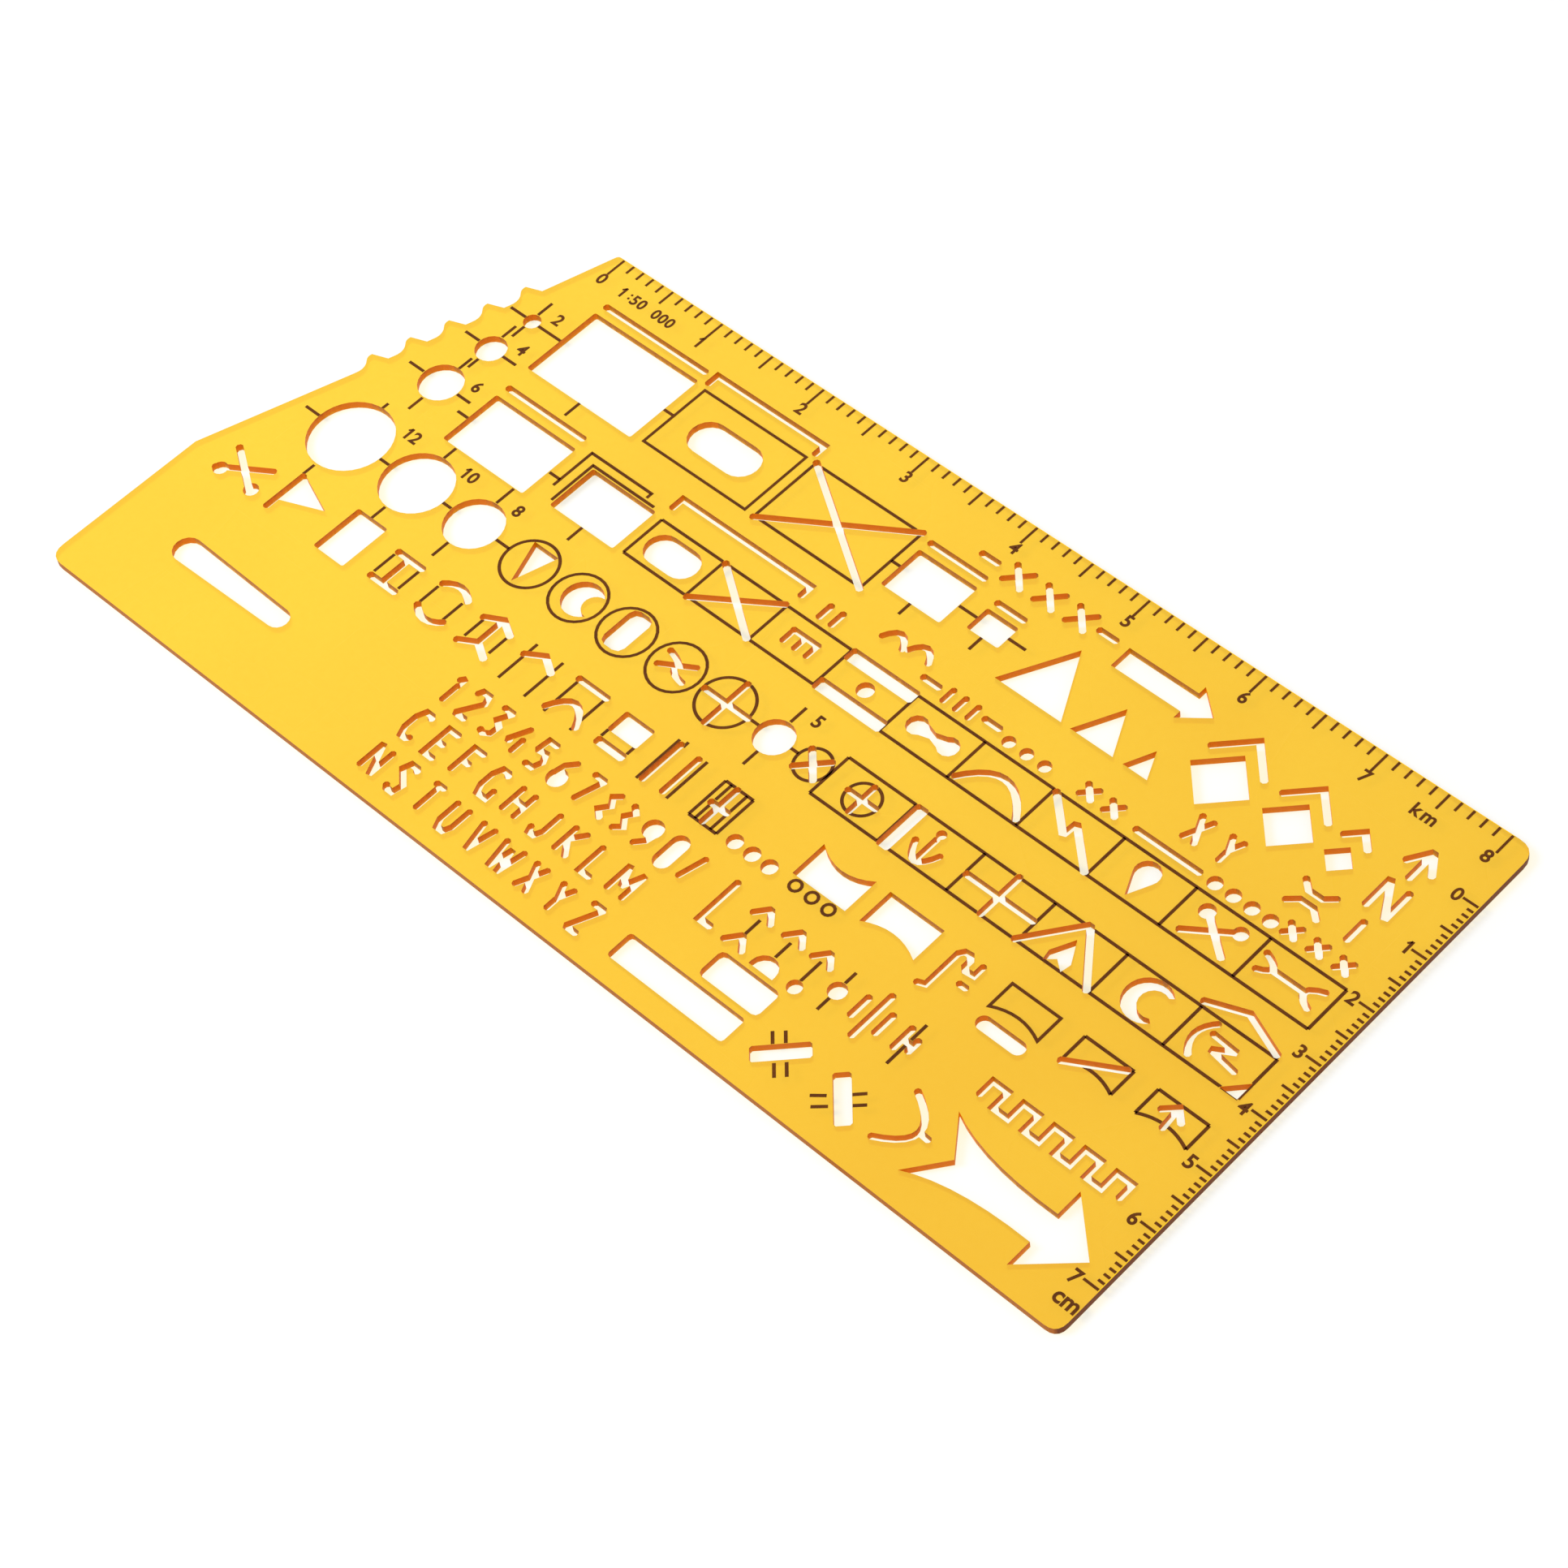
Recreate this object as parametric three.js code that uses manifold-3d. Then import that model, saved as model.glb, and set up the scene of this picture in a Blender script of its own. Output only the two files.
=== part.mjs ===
// Technical drawing template: one flat amber plastic sheet with cut-out symbols, and the
// printed scales, frames and rings on its upper face that no cut-out breaks into islands.
//
// Millimetres, +Z up, underside at z = 0. The layout counts x from the zero of the kilometre
// scale towards the centimetre scale, and y up from the kilometre edge, so y is negative on
// the sheet. At the end the group moves its origin to the bottom centre of the sheet.

import * as THREE from "three";
import { mergeVertices } from "three/addons/utils/BufferGeometryUtils.js";
import Module from "manifold-3d";

const wasm = await Module();
wasm.setup();

// Sheet
const SHEET_THICKNESS = 1.2;
const PRINT_THICKNESS = 0.05;
const LEFT_REACH = 22.65;
const SLANT_START = 1.3;
const SLANT_END_DROP = 62.3;
const RIGHT_MARGIN = 3.4;
const SCALE_END_MARGIN = 3.6;
const BOTTOM_MARGIN = 2.5;
const TOP_RIGHT_RADIUS = 2.7;
const BOTTOM_RIGHT_RADIUS = 2.0;
const BOTTOM_LEFT_RADIUS = 2.5;
const TOP_LEFT_RADIUS = 0.5;
const CUTTER_OVERRUN = 1;

// Teeth along the slanted edge
const TOOTH_COUNT = 5;
const FIRST_TOOTH_DROP = 12.6;
const TOOTH_PITCH = 5.7;
const TOOTH_REACH = 1.95;
const TOOTH_FLANK = 0.9;
const TOOTH_CREST = 0.8;
const TOOTH_HOLLOW = 4.0;
const TOOTH_ROOT_DEPTH = 0.25;
const TOOTH_NOSE = 0.2;
const TOOTH_EASE = 0.6;
const TOOTH_EASE_DROP = 0.5;

// Line widths and the ease of cut corners
const PENCIL_SLOT = 1.08;
const FINE_SLOT = 0.97;
const INK_LINE = 0.42;
const END_CHAMFER = 0.3;
const CORNER_RADIUS = 0.3;
const LEAST_EDGE = 0.01;
const MITRE_LIMIT = 1.5;
const WELD_DISTANCE = 1e-4;
const LEAST_FACETS = 14;
const MOST_FACETS = 56;
const FACETS_FOR_ROOT_MM = 3.4;

// Scales: 20 mm to the kilometre at 1 : 50 000, and plain centimetres
const KM_DIVISION = 20;
const KM_COUNT = 8;
const KM_STEPS = 10;
const KM_TICK = 1.7;
const KM_HALF_TICK = 2.9;
const KM_FULL_TICK = 3.5;
const CM_DIVISION = 10;
const CM_COUNT = 7;
const CM_STEPS = 10;
const CM_TICK = 1.1;
const CM_HALF_TICK = 2.0;
const CM_FULL_TICK = 2.5;
const CM_ZERO_DROP = 11.4;
const TICK_WIDTH = 0.36;
const TICK_EDGE_GAP = 0.03;
const SCALE_BASE_LINE = 0.1;

// Centre lines of the rows, each measured from the row above it
const FIRST_ROW_DROP = 16.6;
const TOP_MARKS_LIFT = 8.6;
const SMALL_ROW_PITCH = 11.7;
const SECOND_ROW_PITCH = 6.4;
const CIRCLE_ROW_PITCH = 13.1;
const FOURTH_ROW_PITCH = 12.1;
const DIGIT_ROW_PITCH = 9.35;
const LETTER_ROW_PITCH = 7.1;
const SIGN_ROW_DROP = 1.65;

const firstRow = -FIRST_ROW_DROP;
const topMarksRow = firstRow + TOP_MARKS_LIFT;
const smallRow = firstRow - SMALL_ROW_PITCH;
const secondRow = smallRow - SECOND_ROW_PITCH;
const circleRow = secondRow - CIRCLE_ROW_PITCH;
const fourthRow = circleRow - FOURTH_ROW_PITCH;
const digitRow = fourthRow - DIGIT_ROW_PITCH;
const letterRow = digitRow - LETTER_ROW_PITCH;
const lastLetterRow = letterRow - LETTER_ROW_PITCH;

// Cells of the second row and the circle row
const CELL_PITCH = 11.96;
const FIRST_CELL_START = 39.25;
const CELL_HEIGHT = 7.35;
const CELL_GAP = 0.2;

// Stencil glyphs
const GLYPH_HEIGHT = 5.8;
const GLYPH_WIDTH = 3.3;
const DIGIT_START = 37.2;
const DIGIT_PITCH = 4.32;
const WIDE_DIGIT_EXTRA = 2.75;
const LETTER_START = 38.1;
const LETTER_PITCH = 4.95;
const CAPITALS_START = 128.1;
const CAPITALS_LIFT = 4.1;
const CAPITALS_PITCH = 5.0;
const BRIDGE_GAP = 8.8;
const BRIDGE_LIFT = 4.9;

// Shapes found by drawing the rows
const cuts = [];
const prints = {};
let rightmost = 0;

function reach(x) {
  rightmost = Math.max(rightmost, x);
  return x;
}

// Closed outline through the points, without any that repeat the one before
function closedShape(points) {
  const last = points.length - 1;
  const apart = (p, i) => p.distanceTo(points[i === 0 ? last : i - 1]) > LEAST_EDGE;
  return new THREE.Shape(points.filter(apart));
}

// Outline of a line of a given width through the points, with eased ends. Its joints are
// mitred, and bevelled on the outside where the line turns sharply.
function strokeOutline(points, width, chamfer = END_CHAMFER) {
  const path = points.map(([x, y]) => new THREE.Vector2(x, y));
  const half = width / 2;
  const ease = Math.min(chamfer, half * 0.6);
  const left = [];
  const right = [];
  path.forEach((point, i) => {
    const before = i > 0 ? point.clone().sub(path[i - 1]).normalize() : null;
    const after = i < path.length - 1 ? path[i + 1].clone().sub(point).normalize() : null;
    if (before && after) {
      const side = new THREE.Vector2(-before.y - after.y, before.x + after.x).normalize();
      const normals = [before, after].map((way) => new THREE.Vector2(-way.y, way.x));
      const stretch = half / side.dot(normals[1]);
      const turnsLeft = before.cross(after) > 0;
      const inner = point.clone().addScaledVector(side, turnsLeft ? stretch : -stretch);
      const outer = point.clone().addScaledVector(side, turnsLeft ? -stretch : stretch);
      const bevel = normals.map((way) => point.clone().addScaledVector(way, turnsLeft ? -half : half));
      const joint = stretch > half * MITRE_LIMIT ? bevel : [outer];
      left.push(...(turnsLeft ? [inner] : joint));
      right.push(...(turnsLeft ? joint : [inner]));
      return;
    }
    const along = after ?? before;
    const inward = after ? 1 : -1;
    const side = new THREE.Vector2(-along.y, along.x);
    const ends = [
      [0, half - ease],
      [ease, half],
    ];
    if (!after) ends.reverse();
    for (const [back, out] of ends) {
      const base = point.clone().addScaledVector(along, back * inward);
      left.push(base.clone().addScaledVector(side, out));
      right.push(base.clone().addScaledVector(side, -out));
    }
  });
  return closedShape([...left, ...right.reverse()]);
}

// Rectangle with rounded corners, or eased ones where segments is 1
function rectangleOutline(x, y, width, height, radius = CORNER_RADIUS, segments = 2) {
  const r = Math.min(radius, width / 2, height / 2);
  const points = [];
  const corners = [
    [1, 1, 0],
    [-1, 1, 0.25],
    [-1, -1, 0.5],
    [1, -1, 0.75],
  ];
  for (const [sx, sy, turn] of corners) {
    for (let i = 0; i <= segments; i++) {
      const angle = 2 * Math.PI * (turn + (0.25 * i) / segments);
      const cx = x + sx * (width / 2 - r);
      const cy = y + sy * (height / 2 - r);
      points.push(new THREE.Vector2(cx + r * Math.cos(angle), cy + r * Math.sin(angle)));
    }
  }
  return closedShape(points);
}

function arcPoints(x, y, radius, from, to, segments) {
  const points = [];
  for (let i = 0; i <= segments; i++) {
    const angle = from + ((to - from) * i) / segments;
    points.push([x + radius * Math.cos(angle), y + radius * Math.sin(angle)]);
  }
  return points;
}

// Segments that keep a circle's facets about as long whatever its radius
function circleSegments(radius) {
  const wanted = 4 * Math.round(FACETS_FOR_ROOT_MM * Math.sqrt(radius));
  return Math.min(MOST_FACETS, Math.max(LEAST_FACETS, wanted));
}

function discOutline(x, y, radius) {
  const count = circleSegments(radius);
  const points = arcPoints(x, y, radius, 0, 2 * Math.PI * (1 - 1 / count), count - 1);
  return closedShape(points.map(([px, py]) => new THREE.Vector2(px, py)));
}

// Points of a smooth bow through a start, a middle and an end
function bow(start, middle, end, segments = 6) {
  const control = [
    2 * middle[0] - (start[0] + end[0]) / 2,
    2 * middle[1] - (start[1] + end[1]) / 2,
  ];
  const curve = new THREE.QuadraticBezierCurve(
    new THREE.Vector2(...start),
    new THREE.Vector2(...control),
    new THREE.Vector2(...end),
  );
  return curve.getPoints(segments).map((p) => [p.x, p.y]);
}

// Points given about a centre, moved onto the sheet
function about(x, y, points) {
  return points.map(([dx, dy]) => [x + dx, y + dy]);
}

function cutShape(points) {
  cuts.push(closedShape(points.map(([x, y]) => new THREE.Vector2(x, y))));
}

function cutStroke(points, width = PENCIL_SLOT) {
  cuts.push(strokeOutline(points, width));
}

function cutBar(x, y, width, height = PENCIL_SLOT) {
  cuts.push(rectangleOutline(x, y, width, height, END_CHAMFER, 1));
}

function cutRectangle(x, y, width, height, radius = CORNER_RADIUS) {
  cuts.push(rectangleOutline(x, y, width, height, radius));
}

function cutStadium(x, y, width, height) {
  cuts.push(rectangleOutline(x, y, width, height, height / 2, 5));
}

function cutDisc(x, y, radius) {
  cuts.push(discOutline(x, y, radius));
}

// Crescent open to the right. Each round is left open over half a mouth angle up and down.
function cutCrescent(x, y, radius, mouth, biteShift, biteRadius, biteMouth) {
  const turn = 2 * Math.PI;
  const outer = arcPoints(x, y, radius, mouth, turn - mouth, 20);
  const inner = arcPoints(x + biteShift, y, biteRadius, -biteMouth, biteMouth - turn, 11);
  cutShape([...outer, ...inner]);
}

// Two slots crossed corner to corner over a width and a height
function cutCross(x, y, width, height, slot = PENCIL_SLOT) {
  const w = width / 2;
  const h = height / 2;
  cutStroke(about(x, y, [[-w, h], [w, -h]]), slot);
  cutStroke(about(x, y, [[-w, -h], [w, h]]), slot);
}

function cutPlus(x, y, width, height, slot = PENCIL_SLOT) {
  cutBar(x, y, width, slot);
  cutBar(x, y, slot, height);
}

// Loop moved outwards by a distance, or inwards where it is negative. It runs anticlockwise.
function offsetLoop(points, distance) {
  const path = points.map(([x, y]) => new THREE.Vector2(x, y));
  return path.map((point, i) => {
    const before = point.clone().sub(path[(i + path.length - 1) % path.length]).normalize();
    const after = path[(i + 1) % path.length].clone().sub(point).normalize();
    const side = new THREE.Vector2(before.y + after.y, -before.x - after.x).normalize();
    const stretch = distance / side.dot(new THREE.Vector2(after.y, -after.x));
    return point.clone().addScaledVector(side, stretch);
  });
}

function printLoop(name, points) {
  const shape = new THREE.Shape(offsetLoop(points, INK_LINE / 2));
  shape.holes.push(new THREE.Path(offsetLoop(points, -INK_LINE / 2)));
  prints[name] = shape;
}

function printFrame(name, x, y, width, height) {
  const w = width / 2;
  const h = height / 2;
  printLoop(name, about(x, y, [[-w, -h], [w, -h], [w, h], [-w, h]]));
}

function printRing(name, x, y, radius) {
  const count = circleSegments(radius);
  printLoop(name, arcPoints(x, y, radius, 0, 2 * Math.PI * (1 - 1 / count), count - 1));
}

// Draws a row of symbols from left to right. Each has a gap before it and a width of its own.
function drawRow(start, y, symbols) {
  let x = start;
  for (const symbol of symbols) {
    x += symbol.gap;
    symbol.draw(x + symbol.width / 2, y, symbol);
    x += symbol.width;
  }
  return reach(x);
}

// Plotting rectangle, with a pencil slot above it where it has a lift
function plottingRectangle(x, y, { width, height, slotLift }) {
  cutRectangle(x, y, width, height);
  if (slotLift) cutBar(x, y + slotLift, width);
}

function framedStadium(x, y, { width, height, slotWidth, slotHeight, bracketLift, bracketDrop }) {
  printFrame("stadium_frame_print", x, y, width, height);
  cutStadium(x, y, slotWidth, slotHeight);
  cutBracket(x, y + bracketLift, width + PENCIL_SLOT, bracketDrop);
}

function cutBracket(x, y, width, drop) {
  const w = width / 2;
  cutStroke(about(x, y, [[-w, -drop], [-w, 0], [w, 0], [w, -drop]]));
}

function crossedSlots(x, y, { width, height, overshoot }) {
  cutCross(x, y, width + overshoot, height + overshoot);
}

function triangle(x, y, { width, height, drop }) {
  cutShape(about(x, y - drop, [[-width / 2, 0], [width / 2, 0], [0, height]]));
}

function diamondWithChevron(x, y, { width, chevronLift }) {
  const half = width / 2;
  cutShape(about(x, y, [[-half, 0], [0, -half], [half, 0], [0, half]]));
  const top = y + half + chevronLift;
  const arm = half * 0.96;
  cutStroke([[x - arm, top - arm], [x, top], [x + arm, top - arm]]);
}

function northArrow(x, y, { width, tip, barbs, shaftFoot, letterTop, letterFoot, tailTop, tailFoot }) {
  const w = width / 2;
  cutStroke(about(x, y, [[-w, barbs], [0, tip], [w, barbs]]));
  cutStroke(about(x, y, [[0, tip], [0, shaftFoot]]));
  const stem = w * 0.72;
  cutStroke(about(x, y, [[-stem, letterFoot], [-stem, letterTop], [stem, letterFoot], [stem, letterTop]]));
  cutStroke(about(x, y, [[0, tailTop], [0, tailFoot]]));
}

const firstRowSymbols = [
  { draw: plottingRectangle, gap: 4.1, width: 20.9, height: 13.4, slotLift: 8.5 },
  { draw: framedStadium, gap: 2.0, width: 19.8, height: 12.0, slotWidth: 12.5, slotHeight: 6.0,
    bracketLift: 9.1, bracketDrop: 2.3 },
  { draw: crossedSlots, gap: 1.8, width: 20.0, height: 12.0, overshoot: 0.9 },
  { draw: plottingRectangle, gap: 1.6, width: 10.7, height: 7.6, slotLift: 5.55 },
  { draw: plottingRectangle, gap: 3.3, width: 5.6, height: 4.2, slotLift: 3.55 },
  { draw: triangle, gap: 3.0, width: 11.6, height: 10.5, drop: 5.9 },
  { draw: triangle, gap: 1.6, width: 7.3, height: 7.0, drop: 5.9 },
  { draw: triangle, gap: 1.7, width: 4.1, height: 4.3, drop: 5.9 },
  { draw: diamondWithChevron, gap: 2.15, width: 9.9, chevronLift: 2.95 },
  { draw: diamondWithChevron, gap: 2.05, width: 8.4, chevronLift: 2.95 },
  { draw: diamondWithChevron, gap: 1.65, width: 4.7, chevronLift: 2.95 },
  { draw: northArrow, gap: 3.9, width: 4.5, tip: 8.3, barbs: 4.9, shaftFoot: 2.9, letterTop: 1.9,
    letterFoot: -3.5, tailTop: -4.9, tailFoot: -9.1 },
];

// Marks above the first row: dashes, crosses and a solid arrow
function dash(x, y, { width, rise = 0 }) {
  cutBar(x, y + rise, width);
}

function smallCross(x, y, { width, rise = 0 }) {
  cutCross(x, y + rise, width, width, FINE_SLOT);
}

function solidArrow(x, y, { width, rise, headLength, headHeight, shaftHeight }) {
  const left = -width / 2;
  const right = width / 2;
  const neck = right - headLength;
  const h = headHeight / 2;
  const s = shaftHeight / 2;
  const outline = [[left, -s], [neck, -s], [neck, -h], [right, 0], [neck, h], [neck, s], [left, s]];
  cutShape(about(x, y + rise, outline));
}

const topMarks = [
  { draw: dash, gap: 76.8, width: 3.7 },
  { draw: smallCross, gap: 1.45, width: 3.7 },
  { draw: smallCross, gap: 1.9, width: 3.7 },
  { draw: smallCross, gap: 1.9, width: 3.7 },
  { draw: dash, gap: 0.9, width: 3.7 },
  { draw: solidArrow, gap: 1.75, width: 16.0, rise: -1.6, headLength: 4.1, headHeight: 6.4,
    shaftHeight: 3.7 },
];

// Small symbols between the first two rows
function uprightBar(x, y, { width, height, rise = 0 }) {
  cutBar(x, y + rise, width, height);
}

function roundHole(x, y, { width, rise = 0 }) {
  cutDisc(x, y + rise, width / 2);
}

function bracket(x, y, { width, rise, drop }) {
  cutBracket(x, y + rise, width - PENCIL_SLOT, drop);
}

function twoBirds(x, y, { width, rise }) {
  const wing = width / 4;
  const bird = [[-wing * 0.95, -2.0], [0, 0.2], [wing * 0.95, -2.0]];
  cutStroke(bow(...about(x - wing, y + rise, bird)), FINE_SLOT);
  cutStroke(bow(...about(x + wing, y + rise + 0.4, bird)), FINE_SLOT);
}

const smallRowSymbols = [
  { draw: dash, gap: 4.5, width: 16.0, rise: 0.7 },
  { draw: bracket, gap: 17.8, width: 25.6, rise: 1.7, drop: 2.4 },
  { draw: uprightBar, gap: 3.365, width: PENCIL_SLOT, height: 3.2, rise: -0.2 },
  { draw: uprightBar, gap: 1.13, width: PENCIL_SLOT, height: 3.2, rise: -0.2 },
  { draw: twoBirds, gap: 5.665, width: 8.6, rise: 3.2 },
  { draw: dash, gap: 0.3, width: 3.6 },
  { draw: uprightBar, gap: 0.95, width: FINE_SLOT, height: 3.0, rise: -0.2 },
  { draw: uprightBar, gap: 1.25, width: FINE_SLOT, height: 3.0, rise: -0.2 },
  { draw: uprightBar, gap: 1.25, width: FINE_SLOT, height: 3.0, rise: -0.2 },
  { draw: dash, gap: 0.95, width: 3.4 },
  { draw: roundHole, gap: 0.95, width: 2.0, rise: -0.8 },
  { draw: roundHole, gap: 1.1, width: 2.0, rise: -0.8 },
  { draw: roundHole, gap: 1.1, width: 2.0, rise: -0.8 },
  { draw: smallCross, gap: 4.9, width: 2.5, rise: -0.2 },
  { draw: smallCross, gap: 1.6, width: 2.5, rise: -0.2 },
  { draw: dash, gap: 2.6, width: 11.4, rise: -0.8 },
  { draw: roundHole, gap: 1.0, width: 2.2, rise: -0.8 },
  { draw: roundHole, gap: 0.8, width: 2.2, rise: -0.8 },
  { draw: roundHole, gap: 0.8, width: 2.2, rise: -0.8 },
  { draw: roundHole, gap: 0.8, width: 2.2, rise: -0.8 },
  { draw: smallCross, gap: 0.7, width: 2.4, rise: -0.2 },
  { draw: smallCross, gap: 1.7, width: 2.4, rise: -0.2 },
  { draw: smallCross, gap: 1.7, width: 2.4, rise: -0.2 },
];

// Second row: two rectangles and ten cells
const secondRowSymbols = [
  { draw: plottingRectangle, gap: 4.5, width: 16.2, height: 10.3 },
  { draw: plottingRectangle, gap: 4.5, width: 12.4, height: 8.3 },
];

// Symbols cut in the ten cells of the second row, each drawn about the centre of its cell
const secondRowCells = [
  (x, y) => cutStadium(x - 0.2, y - 0.05, 9.2, 5.3),
  (x, y) => cutCross(x, y, CELL_PITCH + 0.2, CELL_HEIGHT + 0.6),
  (x, y) => {
    cutBar(x - 0.2, y + 1.35, 5.4, FINE_SLOT);
    for (const leg of [-2.35, -0.2, 1.95]) cutBar(x + leg, y, FINE_SLOT, 2.6);
  },
  (x, y) => {
    const width = CELL_PITCH + 0.15;
    cutBar(x, y + 3.15, width, 2.3);
    cutBar(x, y - 3.0, width, 2.2);
    cutDisc(x, y, 1.3);
  },
  (x, y) => {
    const lobe = arcPoints(2.75, 0, 1.6, -2.4, 2.4, 9);
    const mirrored = lobe.map(([px, py]) => [-px, -py]);
    cutShape(about(x, y + 0.1, [...lobe, [0, 0.62], ...mirrored, [0, -0.62]]));
  },
  (x, y) => cutStroke(bow(...about(x, y, [[-5.6, -3.2], [0, 0.9], [5.6, -3.3]]), 10)),
  (x, y) => cutStroke(about(x, y, [[-5.9, 3.9], [-0.4, -0.9], [-0.2, 1.5], [5.9, -3.8]])),
  (x, y) => {
    const round = arcPoints(0, 1.4, 1.9, -0.55, Math.PI + 0.55, 12);
    cutShape(about(x - 0.25, y, [...round, [0, -2.9]]));
  },
  (x, y) => {
    cutStroke(about(x, y, [[-2.9, 2.1], [3.5, -2.7]]));
    cutStroke(about(x, y, [[2.9, 2.0], [-4.0, -2.7]]));
    cutDisc(x - 2.7, y + 1.8, 1.2);
    cutDisc(x + 2.7, y + 1.8, 1.1);
  },
  (x, y) => {
    cutStroke(about(x, y, [[-2.9, 0.2], [2.4, 0.2]]));
    cutStroke(bow(...about(x, y, [[-5.4, 1.9], [-2.9, 0.4], [-5.0, -1.1]])), FINE_SLOT);
    cutStroke(bow(...about(x, y, [[4.7, 1.9], [2.2, 0.2], [4.4, -1.6]])), FINE_SLOT);
  },
];

// Circle row: plain circle holes, ringed signs and six cells
function circleHole(x, y, { width }) {
  cutDisc(x, y, width / 2);
}

function ringedSign(x, y, { width, sign, print }) {
  sign(x, y);
  if (print) printRing(print, x, y, width / 2);
}

const ringSigns = {
  triangle: (x, y) => cutShape(about(x, y, [[-2.4, 3.1], [0.05, -3.7], [2.3, 3.1]])),
  crescent: (x, y) => cutCrescent(x + 0.6, y + 0.2, 3.05, 0.67, 2.4, 1.9, 1.58),
  tallSlot: (x, y) => cutRectangle(x - 0.2, y + 0.2, 3.9, 7.0, 1.2),
  wave: (x, y) => {
    cutStroke(bow(...about(x, y, [[-3.1, 1.7], [-0.6, 0.9], [0, 0]])), FINE_SLOT);
    cutStroke(bow(...about(x, y, [[0, 0], [0.6, -0.9], [2.9, -1.4]])), FINE_SLOT);
    cutStroke(about(x, y, [[-2.9, -1.3], [2.6, 1.9]]), FINE_SLOT);
  },
  plus: (x, y) => cutPlus(x, y, 9.0, 9.0),
  cross: (x, y) => cutCross(x, y, 4.3, 4.3),
  smallPlus: (x, y) => cutPlus(x, y, 5.8, 5.8, FINE_SLOT),
};

const circleRowSymbols = [
  { draw: circleHole, gap: -12.45, width: 12.8 },
  { draw: circleHole, gap: 1.95, width: 11.0 },
  { draw: circleHole, gap: 1.75, width: 8.9 },
  { draw: ringedSign, gap: 2.75, width: 8.3, sign: ringSigns.triangle },
  { draw: ringedSign, gap: 1.1, width: 8.3, sign: ringSigns.crescent,
    print: "crescent_ring_print" },
  { draw: ringedSign, gap: 1.1, width: 8.3, sign: ringSigns.tallSlot,
    print: "slot_ring_print" },
  { draw: ringedSign, gap: 1.1, width: 8.3, sign: ringSigns.wave,
    print: "wave_ring_print" },
  { draw: ringedSign, gap: 1.1, width: 8.3, sign: ringSigns.plus },
  { draw: circleHole, gap: 1.7, width: 5.9 },
  { draw: ringedSign, gap: 1.35, width: 5.3, sign: ringSigns.cross },
];

// Signs cut in the six cells of the circle row
const thirdRowCells = [
  ringSigns.smallPlus,
  (x, y) => {
    cutBar(x - CELL_PITCH / 2 + 1.05, y + 0.15, 2.1, 8.1);
    cutDisc(x - 0.2, y + 2.4, 0.75);
    cutStroke(about(x, y, [[-0.2, 1.9], [-0.2, -2.8]]), FINE_SLOT);
    cutStroke(bow(...about(x, y, [[-2.5, 0.2], [-0.2, -2.7], [2.1, 0.2]]), 8), FINE_SLOT);
  },
  (x, y) => {
    cutBar(x, y, CELL_PITCH + 0.3);
    cutBar(x - 0.15, y + 0.25, PENCIL_SLOT, 8.1);
  },
  (x, y) => {
    cutStroke(about(x, y, [[-6.6, -3.8], [-0.4, 4.1], [5.9, -3.8]]));
    cutShape(about(x, y, [[-0.2, 1.4], [-1.9, -1.9], [-1.6, -3.5], [-0.2, -2.3], [1.4, -3.5], [1.7, -1.9]]));
  },
  (x, y) => cutCrescent(x + 0.4, y + 0.2, 3.4, 0.75, 0.95, 2.1, 1.1),
  (x, y) => {
    cutStroke(bow(...about(x, y, [[-2.4, 3.4], [-4.1, 0.3], [-2.5, -2.8]]), 8), FINE_SLOT);
    cutStroke(about(x, y, [[-2.7, 1.7], [1.7, 1.4], [-1.1, -0.2], [3.6, -0.9]]), FINE_SLOT);
    const corner = CELL_PITCH / 2;
    cutShape(about(x, y, [[corner - 2.8, -3.6], [corner, -3.6], [corner, -0.7]]));
    cutStroke(about(x, y, [[-6.7, 4.4], [-0.7, 6.7], [6.0, 4.1]]));
  },
];

// Fourth row: small framed and bridged symbols, flags and dots
function crossedTools(x, y, { width }) {
  const w = width / 2;
  cutStroke(about(x, y, [[-w, 1.1], [w, -3.9]]));
  cutStroke(about(x, y, [[w, 1.1], [-w, -3.9]]));
  cutDisc(x - w * 0.7, y - 3.4, 1.15);
  cutDisc(x + w * 0.9, y - 3.3, 1.15);
}

function pennant(x, y, { width }) {
  const pole = x - width / 2 + PENCIL_SLOT / 2;
  cutBar(pole, y - 0.45, PENCIL_SLOT, 7.7);
  cutShape([[pole, y + 3.3], [pole, y - 2.3], [x + width / 2, y + 0.6]]);
}

function tallRectangle(x, y, { width, height, rise }) {
  cutRectangle(x, y + rise, width, height);
}

function beamSymbol(x, y, { width }) {
  cutBar(x, y + 2.15, width);
  cutBar(x, y - 3.0, width);
  cutBar(x - 0.25, y - 0.4, PENCIL_SLOT, 5.2);
}

function barrelSymbol(x, y, { width }) {
  const w = width / 2;
  cutStroke(bow(...about(x, y, [[-w, 1.9], [0, 3.3], [w, 1.9]])));
  cutStroke(bow(...about(x, y, [[-w, -2.1], [0, -3.6], [w, -2.1]])));
}

function roofedBeamSymbol(x, y, { width }) {
  const w = width / 2;
  cutStroke(about(x, y, [[-w, 1.5], [0, 3.1], [w, 1.5]]));
  cutStroke(about(x, y, [[-w, -3.4], [0, -1.7], [w, -3.4]]));
  cutBar(x, y + 0.6, PENCIL_SLOT, 5.0);
}

function roofSymbol(x, y, { width }) {
  const w = width / 2;
  cutStroke(about(x, y, [[-w, 0.6], [0, 2.4], [w, 0.6]]));
}

function archSymbol(x, y, { width }) {
  const w = width / 2;
  cutBar(x, y + 2.65, width);
  cutStroke(bow(...about(x, y, [[-w, -3.8], [0, -0.6], [w, -3.8]]), 8));
}

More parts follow.
